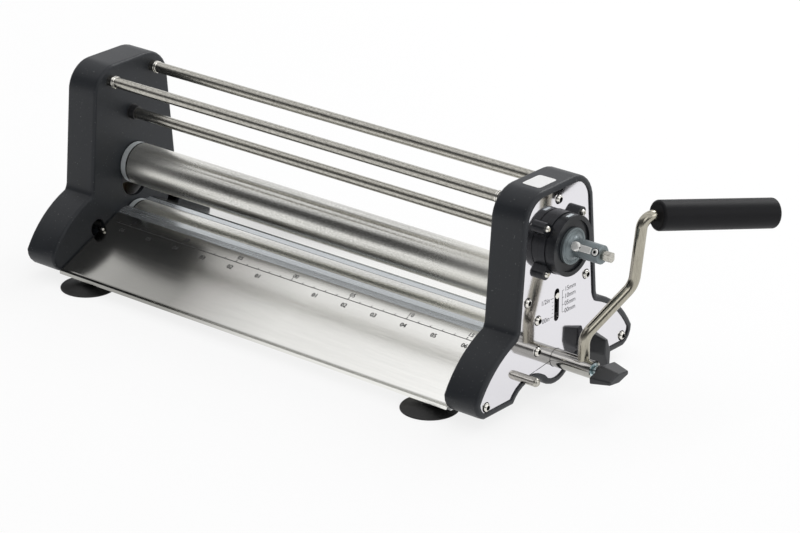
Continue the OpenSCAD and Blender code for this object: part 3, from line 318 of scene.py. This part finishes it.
stageSet = {
    "cameraPlace": (1272.87 * mm, -1511.80 * mm, 870.2 * mm),
    "azimuth": 39.7,
    "elevation": 22.89,
    "lens": 143.65,
    "sensor": 36,
    "clipEnd": 50,
    "floorSize": 14.0,
    "floorTone": rgb(0.96, 0.96, 0.96),
    "floorRoughness": 0.9,
    "floorShine": 0.1,
    "floorGlow": 0.82,
    # name, place, what it points at and power
    "lamps": (
        ("overhead", (0.1, 1.5, 1.7), (0.0, 0.0, 0.05), 16),
        ("frontFill", (1.6, -1.8, 1.9), (0.1, 0.0, 0.05), 6),
        ("sideFill", (2.4, 0.5, 1.2), (0.2, 0.0, 0.05), 5),
    ),
    "lampSize": 1.2,
    "worldStrength": 1.0,
    "worldBlue": 1.01,
    # angle round the rollers' axis in degrees (0 behind, 90 overhead, 180 in front) and brightness there
    "bands": ((0, 0.9), (48, 0.95), (61, 0.25), (69, 1.0), (92, 1.0), (97, 0.6), (104, 1.0), (118, 0.8),
              (137, 0.10), (156, 0.08), (168, 0.22), (180, 0.6)),
}


def setCamera():
    clearSelection()
    bpy.ops.object.camera_add(location=stageSet["cameraPlace"])
    camera = newest("camera")
    tilt, turn = math.radians(90 - stageSet["elevation"]), math.radians(stageSet["azimuth"])
    camera.rotation_euler = Euler((tilt, 0, turn))
    camera.data.sensor_width = stageSet["sensor"]
    camera.data.lens = stageSet["lens"]
    camera.data.clip_end = stageSet["clipEnd"]
    bpy.context.scene.camera = camera


def setFloor():
    clearSelection()
    bpy.ops.mesh.primitive_plane_add(size=stageSet["floorSize"], location=(0, 0, 0))
    floor = newest("floor")
    paint = Finish("floorPaint", Base_Color=stageSet["floorTone"], Roughness=stageSet["floorRoughness"],
                   Specular_IOR_Level=stageSet["floorShine"])
    rays = paint.tree.nodes.new("ShaderNodeLightPath").outputs
    seen = Value(paint, rays["Is Camera Ray"]) + rays["Is Glossy Ray"] + rays["Is Transmission Ray"]
    glow = paint.node("ShaderNodeEmission", {}, {"Color": rgb(1, 1, 1), "Strength": 1.0})
    mixed = paint.node("ShaderNodeMixShader", {},
                       {0: seen * stageSet["floorGlow"], 1: paint.shader.outputs[0], 2: glow})
    output = next(n for n in paint.tree.nodes if n.type == "OUTPUT_MATERIAL")
    paint.put(output.inputs["Surface"], mixed)
    floor.data.materials.append(paint.material)


def setLamps():
    for name, place, target, power in stageSet["lamps"]:
        clearSelection()
        bpy.ops.object.light_add(type="AREA", location=place)
        lamp = newest(name)
        lamp.data.shape = "SQUARE"
        lamp.data.size = stageSet["lampSize"]
        lamp.data.energy = power
        lamp.rotation_euler = (Vector(target) - Vector(place)).to_track_quat("-Z", "Y").to_euler()


def setWorld():
    world = bpy.data.worlds.new("studio")
    bpy.context.scene.world = world
    world.use_nodes = True
    tree = world.node_tree
    sky = next(n for n in tree.nodes if n.type == "BACKGROUND")
    split = tree.nodes.new("ShaderNodeSeparateXYZ")
    tree.links.new(tree.nodes.new("ShaderNodeTexCoord").outputs["Generated"], split.inputs[0])
    turn = tree.nodes.new("ShaderNodeMath")
    turn.operation = "ARCTAN2"
    tree.links.new(split.outputs["Z"], turn.inputs[0])
    tree.links.new(split.outputs["Y"], turn.inputs[1])
    share = tree.nodes.new("ShaderNodeMath")
    share.operation = "DIVIDE"
    share.inputs[1].default_value = math.pi
    tree.links.new(turn.outputs[0], share.inputs[0])
    bands = tree.nodes.new("ShaderNodeValToRGB")
    setStops(bands.color_ramp, [(angle / halfTurn, rgb(level, level, level * stageSet["worldBlue"]))
                                for angle, level in stageSet["bands"]])
    tree.links.new(share.outputs[0], bands.inputs["Fac"])
    tree.links.new(bands.outputs["Color"], sky.inputs["Color"])
    sky.inputs["Strength"].default_value = stageSet["worldStrength"]


setCamera()
setFloor()
setLamps()
setWorld()
bpy.context.scene.view_settings.view_transform = "Standard"
print("stage set")


# finishes: a noise is (scale, detail, roughness) with a stretch along X, Y and Z
# a ramp is pairs of position and value

casingPaint = {
    "clouds": (14, 4, 0.6), "grain": (1600, 2, 0.5), "specks": (800, 1, 0.5),
    "speckRamp": ((0.72, 0.0), (0.76, 1.0)), "speckShare": 0.5, "speck": rgb(0.16, 0.16, 0.16),
    "dark": rgb(0.013, 0.015, 0.018), "light": rgb(0.023, 0.026, 0.031),
    "rough": 0.31, "roughClouds": 0.14, "roughGrain": 0.06, "bump": 0.2, "shine": 0.33,
}


def charcoalPlastic():
    c = casingPaint
    paint = Finish("charcoalPlastic", Specular_IOR_Level=c["shine"])
    cloudy = paint.noise(*c["clouds"])
    grain = paint.noise(*c["grain"])
    specks = paint.ramp(paint.noise(*c["specks"]), *c["speckRamp"])
    tone = paint.blend(cloudy, c["dark"], c["light"])
    paint.set(Base_Color=paint.blend(specks * c["speckShare"], tone, c["speck"]))
    paint.set(Roughness=c["rough"] + cloudy * c["roughClouds"] + grain * c["roughGrain"])
    paint.bump(grain, c["bump"])
    return paint.material


platePaint = {
    "colour": rgb(0.78, 0.77, 0.80), "smear": (30, 4, 0.6), "hair": (260, 2, 0.5), "stretch": (1, 0.06, 1),
    "rough": 0.03, "roughSmear": 0.05, "roughHair": 0.03,
}


def mirrorSteel():
    c = platePaint
    paint = Finish("mirrorSteel", Metallic=1.0, Base_Color=c["colour"])
    smear = paint.noise(*c["smear"])
    hair = paint.noise(*c["hair"], c["stretch"])
    paint.set(Roughness=c["rough"] + smear * c["roughSmear"] + hair * c["roughHair"])
    return paint.material


brushPaint = {
    "fine": (1500, 3, 0.6), "coarse": (260, 3, 0.6),
    "fineShare": 0.6, "coarseShare": 0.4, "streaks": ((0.3, 0.0), (0.7, 1.0)),
    "smoother": 0.04, "roughFine": 0.08, "roughCoarse": 0.05,
}


def streaked(paint, c, fine, coarse):
    return paint.ramp(fine * c["fineShare"] + coarse * c["coarseShare"], *c["streaks"])


def brushedSteel(name, colour, deep, rough, stretch, bump):
    c = brushPaint
    paint = Finish(name, Metallic=1.0)
    fine = paint.noise(*c["fine"], stretch)
    coarse = paint.noise(*c["coarse"], stretch)
    paint.set(Base_Color=paint.blend(streaked(paint, c, fine, coarse), deep, colour))
    paint.set(Roughness=rough - c["smoother"] + fine * c["roughFine"] + coarse * c["roughCoarse"])
    paint.bump(fine, bump)
    return paint.material


rollerPaint = {
    "fine": (1500, 3, 0.65), "fineStretch": (0.4, 1, 1),
    "coarse": (320, 3, 0.6), "coarseStretch": (0.04, 1, 1),
    "fineShare": 0.6, "coarseShare": 0.4, "streaks": ((0.35, 0.0), (0.65, 1.0)), "half": 171.5,
    # ramps over the distance from the roller's end, the first two in centimetres and the third in decimetres
    "groove": ((0.40, 0.0), (0.43, 1.0), (0.52, 1.0), (0.55, 0.0)),
    "rim": ((0.0, 1.0), (0.40, 1.0), (0.43, 0.0)),
    "blur": ((0.0, 0.24), (0.5, 0.12), (1.0, 0.0)), "blurLight": 3,
    # the end tone is a painted highlight near each end, and the groove tone is painted shade in the turned
    # groove
    "deep": rgb(0.44, 0.435, 0.40), "bright": rgb(0.84, 0.835, 0.80), "end": rgb(0.95, 0.94, 0.88),
    "rimTone": rgb(0.72, 0.76, 0.77), "grooveTone": rgb(0.05, 0.05, 0.05), "rimDull": 0.6,
    "rough": 0.09, "roughFine": 0.12, "roughCoarse": 0.06, "bump": 0.12,
}


def rollerSteel():
    # brushed along the roller, with painted shade in its turned groove, a pale rim and a softer end lightened
    # by a painted highlight
    c = rollerPaint
    paint = Finish("rollerSteel", Metallic=1.0)
    fine = paint.noise(*c["fine"], c["fineStretch"])
    coarse = paint.noise(*c["coarse"], c["coarseStretch"])
    reach = paint.endDistance(c["half"])
    groove = paint.ramp(reach * toCentimetres, *c["groove"])
    rim = paint.ramp(reach * toCentimetres, *c["rim"])
    blur = paint.ramp(reach * toDecimetres, *c["blur"])
    steel = paint.blend(streaked(paint, c, fine, coarse), c["deep"], c["bright"])
    # painted highlight: the ends are lightened towards the end tone
    endsWithPaintedLight = paint.blend(rim, paint.blend(blur * c["blurLight"], steel, c["end"]), c["rimTone"])
    # painted shade darkens the turned groove
    paint.set(Base_Color=paint.blend(groove, endsWithPaintedLight, c["grooveTone"]), Metallic=1 - rim * c["rimDull"])
    paint.set(Roughness=c["rough"] + fine * c["roughFine"] + coarse * c["roughCoarse"] + blur)
    paint.bump(fine, c["bump"])
    return paint.material


rodPaint = {
    "fine": (1400, 3, 0.7), "stretch": (0.3, 1, 1), "streaks": ((0.3, 0.0), (0.7, 1.0)), "half": 172.5,
    # where the rings of painted shade lie, in centimetres from the casing's inner wall
    "rings": ((0.22, 0.0), (0.25, 1.0), (0.30, 0.0), (0.38, 0.0), (0.41, 1.0), (0.46, 0.0)),
    "deep": rgb(0.30, 0.29, 0.26), "bright": rgb(0.66, 0.64, 0.58), "ringTone": rgb(0.06, 0.06, 0.055),
    "rough": 0.16, "roughFine": 0.14, "bump": 0.2,
}


def rodSteel():
    # brushed rod with painted shade for two turned rings near each casing
    c = rodPaint
    paint = Finish("rodSteel", Metallic=1.0)
    fine = paint.noise(*c["fine"], c["stretch"])
    rings = paint.ramp(paint.endDistance(c["half"]) * toCentimetres, *c["rings"])
    steel = paint.blend(paint.ramp(fine, *c["streaks"]), c["deep"], c["bright"])
    # the rings are painted shade, near-black on the steel
    paint.set(Base_Color=paint.blend(rings, steel, c["ringTone"]))
    paint.set(Roughness=c["rough"] + fine * c["roughFine"])
    paint.bump(fine, c["bump"])
    return paint.material


blackPaint = {
    "clouds": (60, 3, 0.5), "grainDetail": (3, 0.6), "lighter": 1.7,
    "smoother": 0.05, "roughClouds": 0.12, "roughGrain": 0.05, "bump": 0.18,
}


def blackPlastic(name, colour, rough, grainScale, gloss=0.5):
    c = blackPaint
    paint = Finish(name, Specular_IOR_Level=gloss)
    grain = paint.noise(grainScale, *c["grainDetail"])
    cloudy = paint.noise(*c["clouds"])
    lighter = rgb(*[level * c["lighter"] for level in colour[:3]])
    paint.set(Base_Color=paint.blend(cloudy, colour, lighter))
    paint.set(Roughness=rough - c["smoother"] + cloudy * c["roughClouds"] + grain * c["roughGrain"])
    paint.bump(grain, c["bump"])
    return paint.material


hubPaint = {
    "clouds": (90, 3, 0.6), "grain": (1300, 2, 0.5),
    "dark": rgb(0.15, 0.18, 0.19), "light": rgb(0.24, 0.275, 0.285),
    "metal": 0.6, "rough": 0.34, "roughGrain": 0.12, "bump": 0.2,
}


def castHub():
    c = hubPaint
    paint = Finish("castHub", Metallic=c["metal"])
    grain = paint.noise(*c["grain"])
    paint.set(Base_Color=paint.blend(paint.noise(*c["clouds"]), c["dark"], c["light"]))
    paint.set(Roughness=c["rough"] + grain * c["roughGrain"])
    paint.bump(grain, c["bump"])
    return paint.material


trayPaint = {
    "fine": (1500, 3, 0.6), "coarse": (240, 3, 0.6), "stretch": (0.03, 1, 1),
    "fineShare": 0.6, "coarseShare": 0.4, "half": 172,
    # painted reflection: tone from the left end to the right one, dark where the sheet would mirror the
    # casing and light where it would mirror the room
    "tones": ((0.0, rgb(0.46, 0.455, 0.43)), (0.15, rgb(0.34, 0.335, 0.315)), (0.29, rgb(0.33, 0.325, 0.305)),
              (0.36, rgb(0.50, 0.49, 0.465)), (0.45, rgb(0.66, 0.655, 0.625)), (0.55, rgb(0.82, 0.815, 0.78)),
              (1.0, rgb(0.98, 0.975, 0.94))),
    "streaks": ((0.3, 0.88), (0.7, 1.0)), "streakTone": rgb(0.05, 0.05, 0.05),
    "rough": 0.10, "roughFine": 0.08, "roughCoarse": 0.05, "bump": 0.06,
}


def traySteel():
    # brushed sheet with a painted reflection: its colour is dark at its left, where it mirrors the dark
    # casing, and light at its right, where it mirrors the light room
    c = trayPaint
    paint = Finish("traySteel", Metallic=1.0)
    fine = paint.noise(*c["fine"], c["stretch"])
    coarse = paint.noise(*c["coarse"], c["stretch"])
    # the colour along the sheet is a painted reflection of the casing and the room
    paintedReflection = paint.ramp(paint.alongX(-c["half"], c["half"]), *c["tones"])
    paint.set(Base_Color=paint.blend(streaked(paint, c, fine, coarse), c["streakTone"], paintedReflection))
    paint.set(Roughness=c["rough"] + fine * c["roughFine"] + coarse * c["roughCoarse"])
    paint.bump(fine, c["bump"])
    return paint.material


scraperPaint = {
    "fine": (1500, 3, 0.6), "stretch": (0.03, 1, 1),
    "dark": rgb(0.52, 0.55, 0.57), "light": rgb(0.60, 0.63, 0.65),
    "metal": 0.8, "rough": 0.2, "roughFine": 0.12, "bump": 0.08,
}


def scraperSteel():
    # cool grey strip, brushed along its length
    c = scraperPaint
    paint = Finish("scraperSteel", Metallic=c["metal"])
    fine = paint.noise(*c["fine"], c["stretch"])
    paint.set(Base_Color=paint.blend(fine, c["dark"], c["light"]))
    paint.set(Roughness=c["rough"] + fine * c["roughFine"])
    paint.bump(fine, c["bump"])
    return paint.material


mottlePaint = {"detail": (3, 0.6), "smoother": 0.06, "roughClouds": 0.12}


def mottled(name, low, high, rough, metal, scale=200):
    c = mottlePaint
    paint = Finish(name, Metallic=metal)
    cloudy = paint.noise(scale, *c["detail"])
    paint.set(Base_Color=paint.blend(cloudy, low, high))
    paint.set(Roughness=rough - c["smoother"] + cloudy * c["roughClouds"])
    return paint.material


# blackPlastic takes a colour, roughness, grain scale and shine
# mottled takes its two colours, roughness, metal and cloud scale
finishes = {
    "casing": charcoalPlastic(),
    "mirror_plate": mirrorSteel(),
    "brushed_rod": rodSteel(),
    "brushed_roller": rollerSteel(),
    "brushed_tray": traySteel(),
    "scraper_strip": scraperSteel(),
    "bright_screw": mottled("polishedScrew", rgb(0.74, 0.72, 0.66), rgb(0.84, 0.82, 0.77), 0.16, 1.0, 300),
    "zinc_bolt": mottled("zincPlate", rgb(0.46, 0.56, 0.60), rgb(0.62, 0.72, 0.74), 0.26, 1.0, 160),
    "black_knob": blackPlastic("blackKnob", rgb(0.014, 0.015, 0.017), 0.34, 900),
    "grip_plastic": blackPlastic("gripPlastic", rgb(0.006, 0.006, 0.007), 0.42, 1200, 0.14),
    "counter_plastic": blackPlastic("counterPlastic", rgb(0.009, 0.010, 0.012), 0.27, 1000, 0.36),
    "window_plastic": mottled("windowPlastic", rgb(0.50, 0.56, 0.58), rgb(0.66, 0.72, 0.73), 0.2, 0.0),
    "hub_metal": castHub(),
    "cup_rubber": blackPlastic("cupRubber", rgb(0.008, 0.008, 0.008), 0.5, 700),
    "label_paper": mottled("labelPaper", rgb(0.80, 0.80, 0.79), rgb(0.88, 0.88, 0.87), 0.4, 0.0, 80),
    "bearing_brass": mottled("bearingBrass", rgb(0.52, 0.38, 0.17), rgb(0.66, 0.50, 0.25), 0.3, 1.0),
    "bush_plastic": blackPlastic("bushPlastic", rgb(0.014, 0.014, 0.015), 0.4, 900),
    "block_plastic": blackPlastic("blockPlastic", rgb(0.04, 0.04, 0.043), 0.5, 700),
    "rail_metal": mottled("railMetal", rgb(0.55, 0.55, 0.55), rgb(0.68, 0.68, 0.68), 0.38, 1.0),
    "bracket_steel": mottled("bracketSteel", rgb(0.50, 0.51, 0.52), rgb(0.64, 0.65, 0.65), 0.32, 1.0),
    "gear_steel": mottled("gearSteel", rgb(0.34, 0.34, 0.35), rgb(0.46, 0.46, 0.47), 0.34, 1.0),
}
# brushedSteel takes its two colours, roughness, stretch and bump
crankSteel = brushedSteel("crankSteel", rgb(0.48, 0.455, 0.38), rgb(0.32, 0.30, 0.245), 0.15,
                          (1, 1, 0.15), 0.1)
tubeSteel = brushedSteel("tubeSteel", rgb(0.48, 0.47, 0.44), rgb(0.36, 0.355, 0.33), 0.08, (0.1, 1, 1), 0.04)
# painted shade: a near-black finish laid in sockets, holes and clearance gaps
darkHollow = blackPlastic("darkHollow", rgb(0.006, 0.006, 0.006), 0.7, 400, 0.2)
scaleInk = blackPlastic("scaleInk", rgb(0.03, 0.03, 0.035), 0.6, 500, 0.2)
rulerInk = blackPlastic("rulerInk", rgb(0.07, 0.07, 0.07), 0.6, 500, 0.2)
paleRing = mottled("paleRing", rgb(0.50, 0.56, 0.58), rgb(0.62, 0.68, 0.70), 0.3, 0.2)
keySteel = mottled("keySteel", rgb(0.88, 0.88, 0.85), rgb(0.98, 0.98, 0.95), 0.3, 0.45, 400)

slotOf = {sub["node"]: sub["material_slot"] for sub in frame["record"]["subparts"]}
for nodeName, node in nodes.items():
    for slotIndex in range(len(node.material_slots)):
        node.material_slots[slotIndex].material = finishes[slotOf[nodeName]]
for nodeName in ("crank_arm", "grip_screw"):
    nodes[nodeName].material_slots[0].material = crankSteel
nodes["drive_shaft"].material_slots[0].material = tubeSteel
print("finishes made and given to the frame's nodes")


# casings: the frame's own shape, its rounded edges shaded smooth

smoothAngle = 40
roundAngle = 50
for side in ("right", "left"):
    dress(softened(side + "_casing", side + "CasingShell", smoothAngle), "frame", "casing", side + "_casing")
print("casings done")


# wing knobs

knobSet = {
    # the wings' size next to the boss and in their outer half
    "length": 27, "thickness": 10.4, "tip": 4.6, "depth": 13.8,
    "endLength": 19.6, "endThickness": 6.4, "endTip": 2.6,
    "bossLength": 2.4, "boss": ((4.2, 0), (4.6, 0.4), (4.6, 1.8), (5.1, 3.0), (4.9, 4.4)), "bossSides": 40,
    "middleReach": 0.1, "edge": 0.9, "edgeSteps": 3, "edgeAngle": 12,
    "crank": (232.7, 0, 24.3), "crankTurn": 4, "tray": (199.8, 32.6, 20.9), "trayTurn": 98,
}


def shapeWing(vertex, middleX):
    # thick along the middle and thin at the tips, narrower in its outer half
    k = knobSet
    outer = vertex.co.x > middleX
    middle = abs(vertex.co.y) < k["middleReach"] * mm
    long = k["endLength"] if outer else k["length"]
    if middle:
        thick = k["endThickness"] if outer else k["thickness"]
    else:
        thick = k["endTip"] if outer else k["tip"]
    vertex.co.y = 0 if middle else math.copysign(long / 2 * mm, vertex.co.y)
    vertex.co.z = math.copysign(thick / 2 * mm, vertex.co.z)


def makeKnob(name):
    k = knobSet
    middleX = k["bossLength"] + k["depth"] / 2
    wings = keepPlace(block(name, (middleX, 0, 0), (k["depth"], k["length"], k["tip"])))
    bpy.ops.object.mode_set(mode="EDIT")
    bpy.ops.mesh.select_all(action="SELECT")
    bpy.ops.mesh.bisect(plane_co=(0, 0, 0), plane_no=(0, 1, 0))
    bpy.ops.object.mode_set(mode="OBJECT")
    for vertex in wings.data.vertices:
        shapeWing(vertex, middleX * mm)
    useModifier(wings, "BEVEL", width=k["edge"] * mm, segments=k["edgeSteps"], limit_method="ANGLE",
                angle_limit=math.radians(k["edgeAngle"]))
    boss = settle(lathe(name + "Boss", k["boss"], k["bossSides"]), turn=(0, 90, 0))
    return smooth(joined(name, [wings, boss]), roundAngle)


masterKnob = makeKnob("crankWingKnob")
rearKnob = twin(masterKnob, "rearWingKnob")
frontKnob = twin(masterKnob, "frontWingKnob")
trayX, trayY, trayZ = knobSet["tray"]
settle(masterKnob, spot(*knobSet["crank"]), (knobSet["crankTurn"], 0, 0))
settle(rearKnob, spot(trayX, trayY, trayZ), (knobSet["trayTurn"], 0, 0))
settle(frontKnob, spot(-trayX, -trayY, trayZ), (knobSet["trayTurn"], 0, 180))
dress(masterKnob, "crank_clamp", "black_knob", "crank_knob")
dress(rearKnob, "rear_clamp", "black_knob", "rear_tray_knob")
dress(frontKnob, "front_clamp", "black_knob", "front_tray_knob")
print("wing knobs done")


# suction cups

cupSet = {
    "places": {"front_right_cup": (152, -70), "rear_right_cup": (152, 70),
               "front_left_cup": (-152, -70), "rear_left_cup": (-152, 70)},
    "profile": ((15.5, 0.5), (18.3, 0.1), (18.8, 0.0), (19.2, 0.2), (19.25, 0.6), (19.0, 1.0), (18.2, 1.15),
                (16.0, 1.5), (12.0, 2.6), (9.0, 3.5), (6.6, 3.9), (5.9, 4.2), (5.7, 4.7), (5.2, 5.0),
                (5.0, 5.6)),
    "sides": 64,
}


def cupName(nodeName):
    first, *others = nodeName.split("_")
    return first + "".join(word.capitalize() for word in others)


masterCup = smooth(lathe("cupMaster", cupSet["profile"], cupSet["sides"]), roundAngle, False)
for nodeName, (x, y) in cupSet["places"].items():
    cup = settle(twin(masterCup, cupName(nodeName)), spot(x, y, 0))
    dress(cup, "frame", "cup_rubber", nodeName)
bpy.data.objects.remove(masterCup)
print("cups done")


# plate screws with painted shade in their sockets, each in a ring of painted shade for its clearance gap

screwSet = {
    "head": ((3.45, -0.1), (3.45, 0.05), (2.95, 0.06), (2.9, 0.6), (2.6, 1.25), (1.95, 1.75), (1.62, 1.85),
             (1.5, 1.7), (1.45, 0.5)),
    "sides": 24, "socket": 1.56, "rim": 2.96,
    "plateX": 198.5,
    "plate": ((-71.5, 15), (71.5, 15), (-30.5, 72.2), (30.5, 72.2), (0, 133)),
    "rail": ((-19.5, 35), (-19.5, 56.4)),
}


def darkenInside(piece, socket, rim):
    # painted shade where a face lies nearer the axis than the socket's radius or further out than the rim's
    for face in piece.data.polygons:
        radius = math.hypot(face.center.x, face.center.y)
        face.material_index = 1 if radius < socket * mm or radius > rim * mm else 0


def makeScrew():
    screw = lathe("screwMaster", screwSet["head"], screwSet["sides"])
    screw.data.materials.append(finishes["bright_screw"])
    screw.data.materials.append(darkHollow)
    darkenInside(screw, screwSet["socket"], screwSet["rim"])
    return smooth(screw, smoothAngle, False)


masterScrew = makeScrew()


def screwRow(name, places, sides, node):
    heads = []
    for side in sides:
        for y, z in places:
            head = twin(masterScrew, name + str(len(heads)))
            heads.append(sidewise(head, side, (side * screwSet["plateX"], side * y, z)))
    return dress(joined(name, heads), "frame", "bright_screw", node)


screwRow("rightPlateScrewHeads", screwSet["plate"], (1,), "right_plate_screws")
screwRow("leftPlateScrewHeads", screwSet["plate"], (-1,), "left_plate_screws")
screwRow("railScrewHeads", screwSet["rail"], bothSides, "rail_screws")
bpy.data.objects.remove(masterScrew)
print("screws done")


# the hub's key and its clamping screw, modelled with the key on top and turned to its side

hubSet = {
    "axis": (0, 0, 104.3), "turn": 61,
    "keyX": (213.5, 228.3), "keyWidth": 4.3, "keyRadius": (4.4, 7.1), "keyEdge": 0.45, "edgeSteps": 3,
    "head": ((2.9, 4.4), (3.1, 4.6), (3.1, 7.4), (2.7, 7.8), (1.4, 8.0)), "headX": 216.8, "headSides": 32,
    # the hole is a dark disc of painted shade on the key's head
    "hole": ((0.62, 6.9), (0.62, 7.15)), "holeX": 220.0, "holeSides": 20,
    "screw": ((2.7, 5.0), (2.7, 6.1), (2.2, 6.15), (2.15, 6.5), (1.9, 6.75), (1.05, 6.8), (0.95, 6.65),
              (0.9, 6.0)),
    "screwX": 231.3, "screwSides": 24, "socket": 1.0, "rim": 2.3,
}


def makeKey():
    h = hubSet
    (start, end), (low, high) = h["keyX"], h["keyRadius"]
    size = (end - start, h["keyWidth"], high - low)
    bar = keepPlace(block("keyBar", ((start + end) / 2, 0, (low + high) / 2), size))
    useModifier(bar, "BEVEL", width=h["keyEdge"] * mm, segments=h["edgeSteps"])
    head = settle(lathe("keyHead", h["head"], h["headSides"]), (h["headX"] * mm, 0, 0))
    for piece in (bar, head):
        piece.data.materials.append(keySteel)
    # painted shade: a dark disc stands for the hole
    hole = settle(lathe("keyHole", h["hole"], h["holeSides"]), (h["holeX"] * mm, 0, 0))
    hole.data.materials.append(darkHollow)
    return smooth(joined("hubKeyBar", [bar, head, hole]), smoothAngle)


def makeHubScrew():
    h = hubSet
    screw = lathe("hubClampScrew", h["screw"], h["screwSides"])
    screw.data.materials.append(keySteel)
    screw.data.materials.append(darkHollow)
    # painted shade in the socket and round the screw, where it sits in its hole
    darkenInside(screw, h["socket"], h["rim"])
    return smooth(settle(screw, (h["screwX"] * mm, 0, 0)), smoothAngle, False)


for piece, node in ((makeKey(), "hub_key"), (makeHubScrew(), "hub_screw")):
    settle(piece, spot(*hubSet["axis"]), (hubSet["turn"], 0, 0))
    dress(piece, "adjuster", "bright_screw", node)
print("hub fittings done")


# roller end rings, bright collars on the guard rods and the tray's catch pins

ringSet = {
    "profile": ((14.0, 171.6), (14.4, 171.8), (14.4, 172.1), (14.0, 172.3)), "sides": 64,
    "axisZ": 67.2,
}
collarSet = {
    "profile": ((3.8, 166.2), (4.2, 166.5), (4.2, 167.4), (3.9, 167.6), (3.9, 167.9), (4.2, 168.1),
                (4.2, 168.8), (3.8, 169.1)), "sides": 40,
    "places": ((-20.7, 132.8), (20.7, 132.8)),
}
pinSet = {
    "profile": ((0.7, 0), (1.1, 0.3), (1.1, 4.2), (0.9, 4.6), (0.5, 4.8)), "sides": 20,
    "place": (172.6, 37.4, 28.3),
}


def turned(name, shape, side, place):
    return sidewise(lathe(name, shape["profile"], shape["sides"]), side, place)


rings = [turned("endRing", ringSet, side, (0, 0, ringSet["axisZ"])) for side in bothSides]
dress(joined("rollerEndRings", rings), "pressing_roller", "gear_steel", finish=paleRing)

collars = [turned("rodCollar", collarSet, side, (0, y, z))
           for side in bothSides for y, z in collarSet["places"]]
dress(smooth(joined("guardRodCollars", collars), smoothAngle, False), "frame", "brushed_rod",
      finish=finishes["bright_screw"])

pinX, pinY, pinZ = pinSet["place"]
pins = [turned("catchPin", pinSet, side, (-pinX * side, -pinY * side, pinZ)) for side in bothSides]
dress(smooth(joined("trayCatchPins", pins), smoothAngle, False), "frame", "bright_screw")
print("rings and pins done")


# printed scales: the ruler on the front tray and the gap scale on the right plate

inkHeight = 0.03
inch = 25.4
textSteps = 3  # how finely a letter's curves are divided


def stroke(name, start, end, width):
    # a flat line in the XY plane, in millimetres
    middle = ((start[0] + end[0]) / 2, (start[1] + end[1]) / 2, inkHeight / 2)
    line = block(name, middle, (math.dist(start, end), width, inkHeight))
    line.rotation_euler.z = math.atan2(end[1] - start[1], end[0] - start[0])
    return keepPlace(line)


def lettering(text, x, y, size, align="CENTER"):
    clearSelection()
    bpy.ops.object.text_add(location=(x * mm, y * mm, 0))
    words = bpy.context.object
    words.data.body = text
    words.data.size = size * mm
    words.data.align_x = align
    words.data.align_y = "CENTER"
    words.data.extrude = inkHeight * mm / 2
    words.data.resolution_u = textSteps
    pick(words)
    bpy.ops.object.convert(target="MESH")
    return keepPlace(bpy.context.object)


rulerSet = {
    "top": (-3, -19.0, 35.0), "slope": 23.163, "lift": 0.04, "half": 163, "width": 0.34,
    # distances down the tray from its top edge, and text heights
    "line": 8.7, "label": 4.4, "inch": 14.2, "labelSize": 4.6, "inchSize": 4.8,
    "ticks": range(-16, 17), "tickGap": 10, "tick": 1.5, "longTick": 2.2, "longEvery": 5,
    # a centimetre label stands every 5 cm, a little to the right of its tick
    "labels": range(-3, 4), "labelGap": 50, "labelWorth": 5, "labelAside": 1, "inches": range(-6, 7),
}


def makeRuler():
    r = rulerSet
    marks = [stroke("ruler", (-r["half"], -r["line"]), (r["half"], -r["line"]), r["width"])]
    for step in r["ticks"]:
        x = step * r["tickGap"]
        tall = r["tick"] if step % r["longEvery"] else r["longTick"]
        marks.append(stroke("tick", (x, -r["line"]), (x, -r["line"] + tall), r["width"]))
    ruled = joined("rulerMarks", marks)
    centimetres = [lettering("%02d" % abs(step * r["labelWorth"]), step * r["labelGap"] + r["labelAside"],
                             -r["label"], r["labelSize"]) for step in r["labels"]]
    inches = [lettering("%02d" % abs(step), step * inch, -r["inch"], r["inchSize"])
              for step in r["inches"] if step]
    x, y, z = r["top"]
    slope = math.radians(r["slope"])
    place = spot(x, y - math.sin(slope) * r["lift"], z + math.cos(slope) * r["lift"])
    for piece, finish in ((ruled, rulerInk), (joined("rulerCentimetres", centimetres), scaleInk),
                          (joined("rulerInches", inches), rulerInk)):
        settle(piece, place, (r["slope"], 0, 0))
        dress(piece, "frame", "brushed_tray", finish=finish)


gapSet = {
    "zero": 53.7, "plateX": 198.5, "lift": 0.02, "width": 0.26, "text": 4.6,
    "spine": 5.9, "tick": 1.8, "textAside": 2.4, "gaps": (0, 5, 10, 15),
    "slot": 3.4, "inchTick": 4.9, "longInchTick": 6.6, "inchText": 7.2, "inchSteps": 5, "inchGap": 2.54,
}


def makeGapScale():
    g = gapSet
    spine, bottom, top = g["spine"], g["zero"], g["zero"] + g["gaps"][-1]
    marks = [stroke("scaleSpine", (spine, bottom), (spine, top), g["width"])]
    for gap in g["gaps"]:
        height = bottom + gap
        marks.append(stroke("gapTick", (spine, height), (spine + g["tick"], height), g["width"]))
        marks.append(lettering("%02dmm" % gap, spine + g["textAside"], height, g["text"], "LEFT"))
    for step in range(g["inchSteps"] + 1):
        height = bottom + step * g["inchGap"]
        out = g["longInchTick"] if step in (0, g["inchSteps"]) else g["inchTick"]
        marks.append(stroke("inchTick", (-g["slot"], height), (-out, height), g["width"]))
    marks.append(lettering("00in", -g["inchText"], bottom, g["text"], "RIGHT"))
    marks.append(lettering("1/2in", -g["inchText"], bottom + inch / 2, g["text"], "RIGHT"))
    scale = settle(joined("gapScale", marks), spot(g["plateX"] + g["lift"], 0, 0), (90, 0, 90))
    dress(scale, "frame", "mirror_plate", finish=scaleInk)


makeRuler()
makeGapScale()
print("scales done")
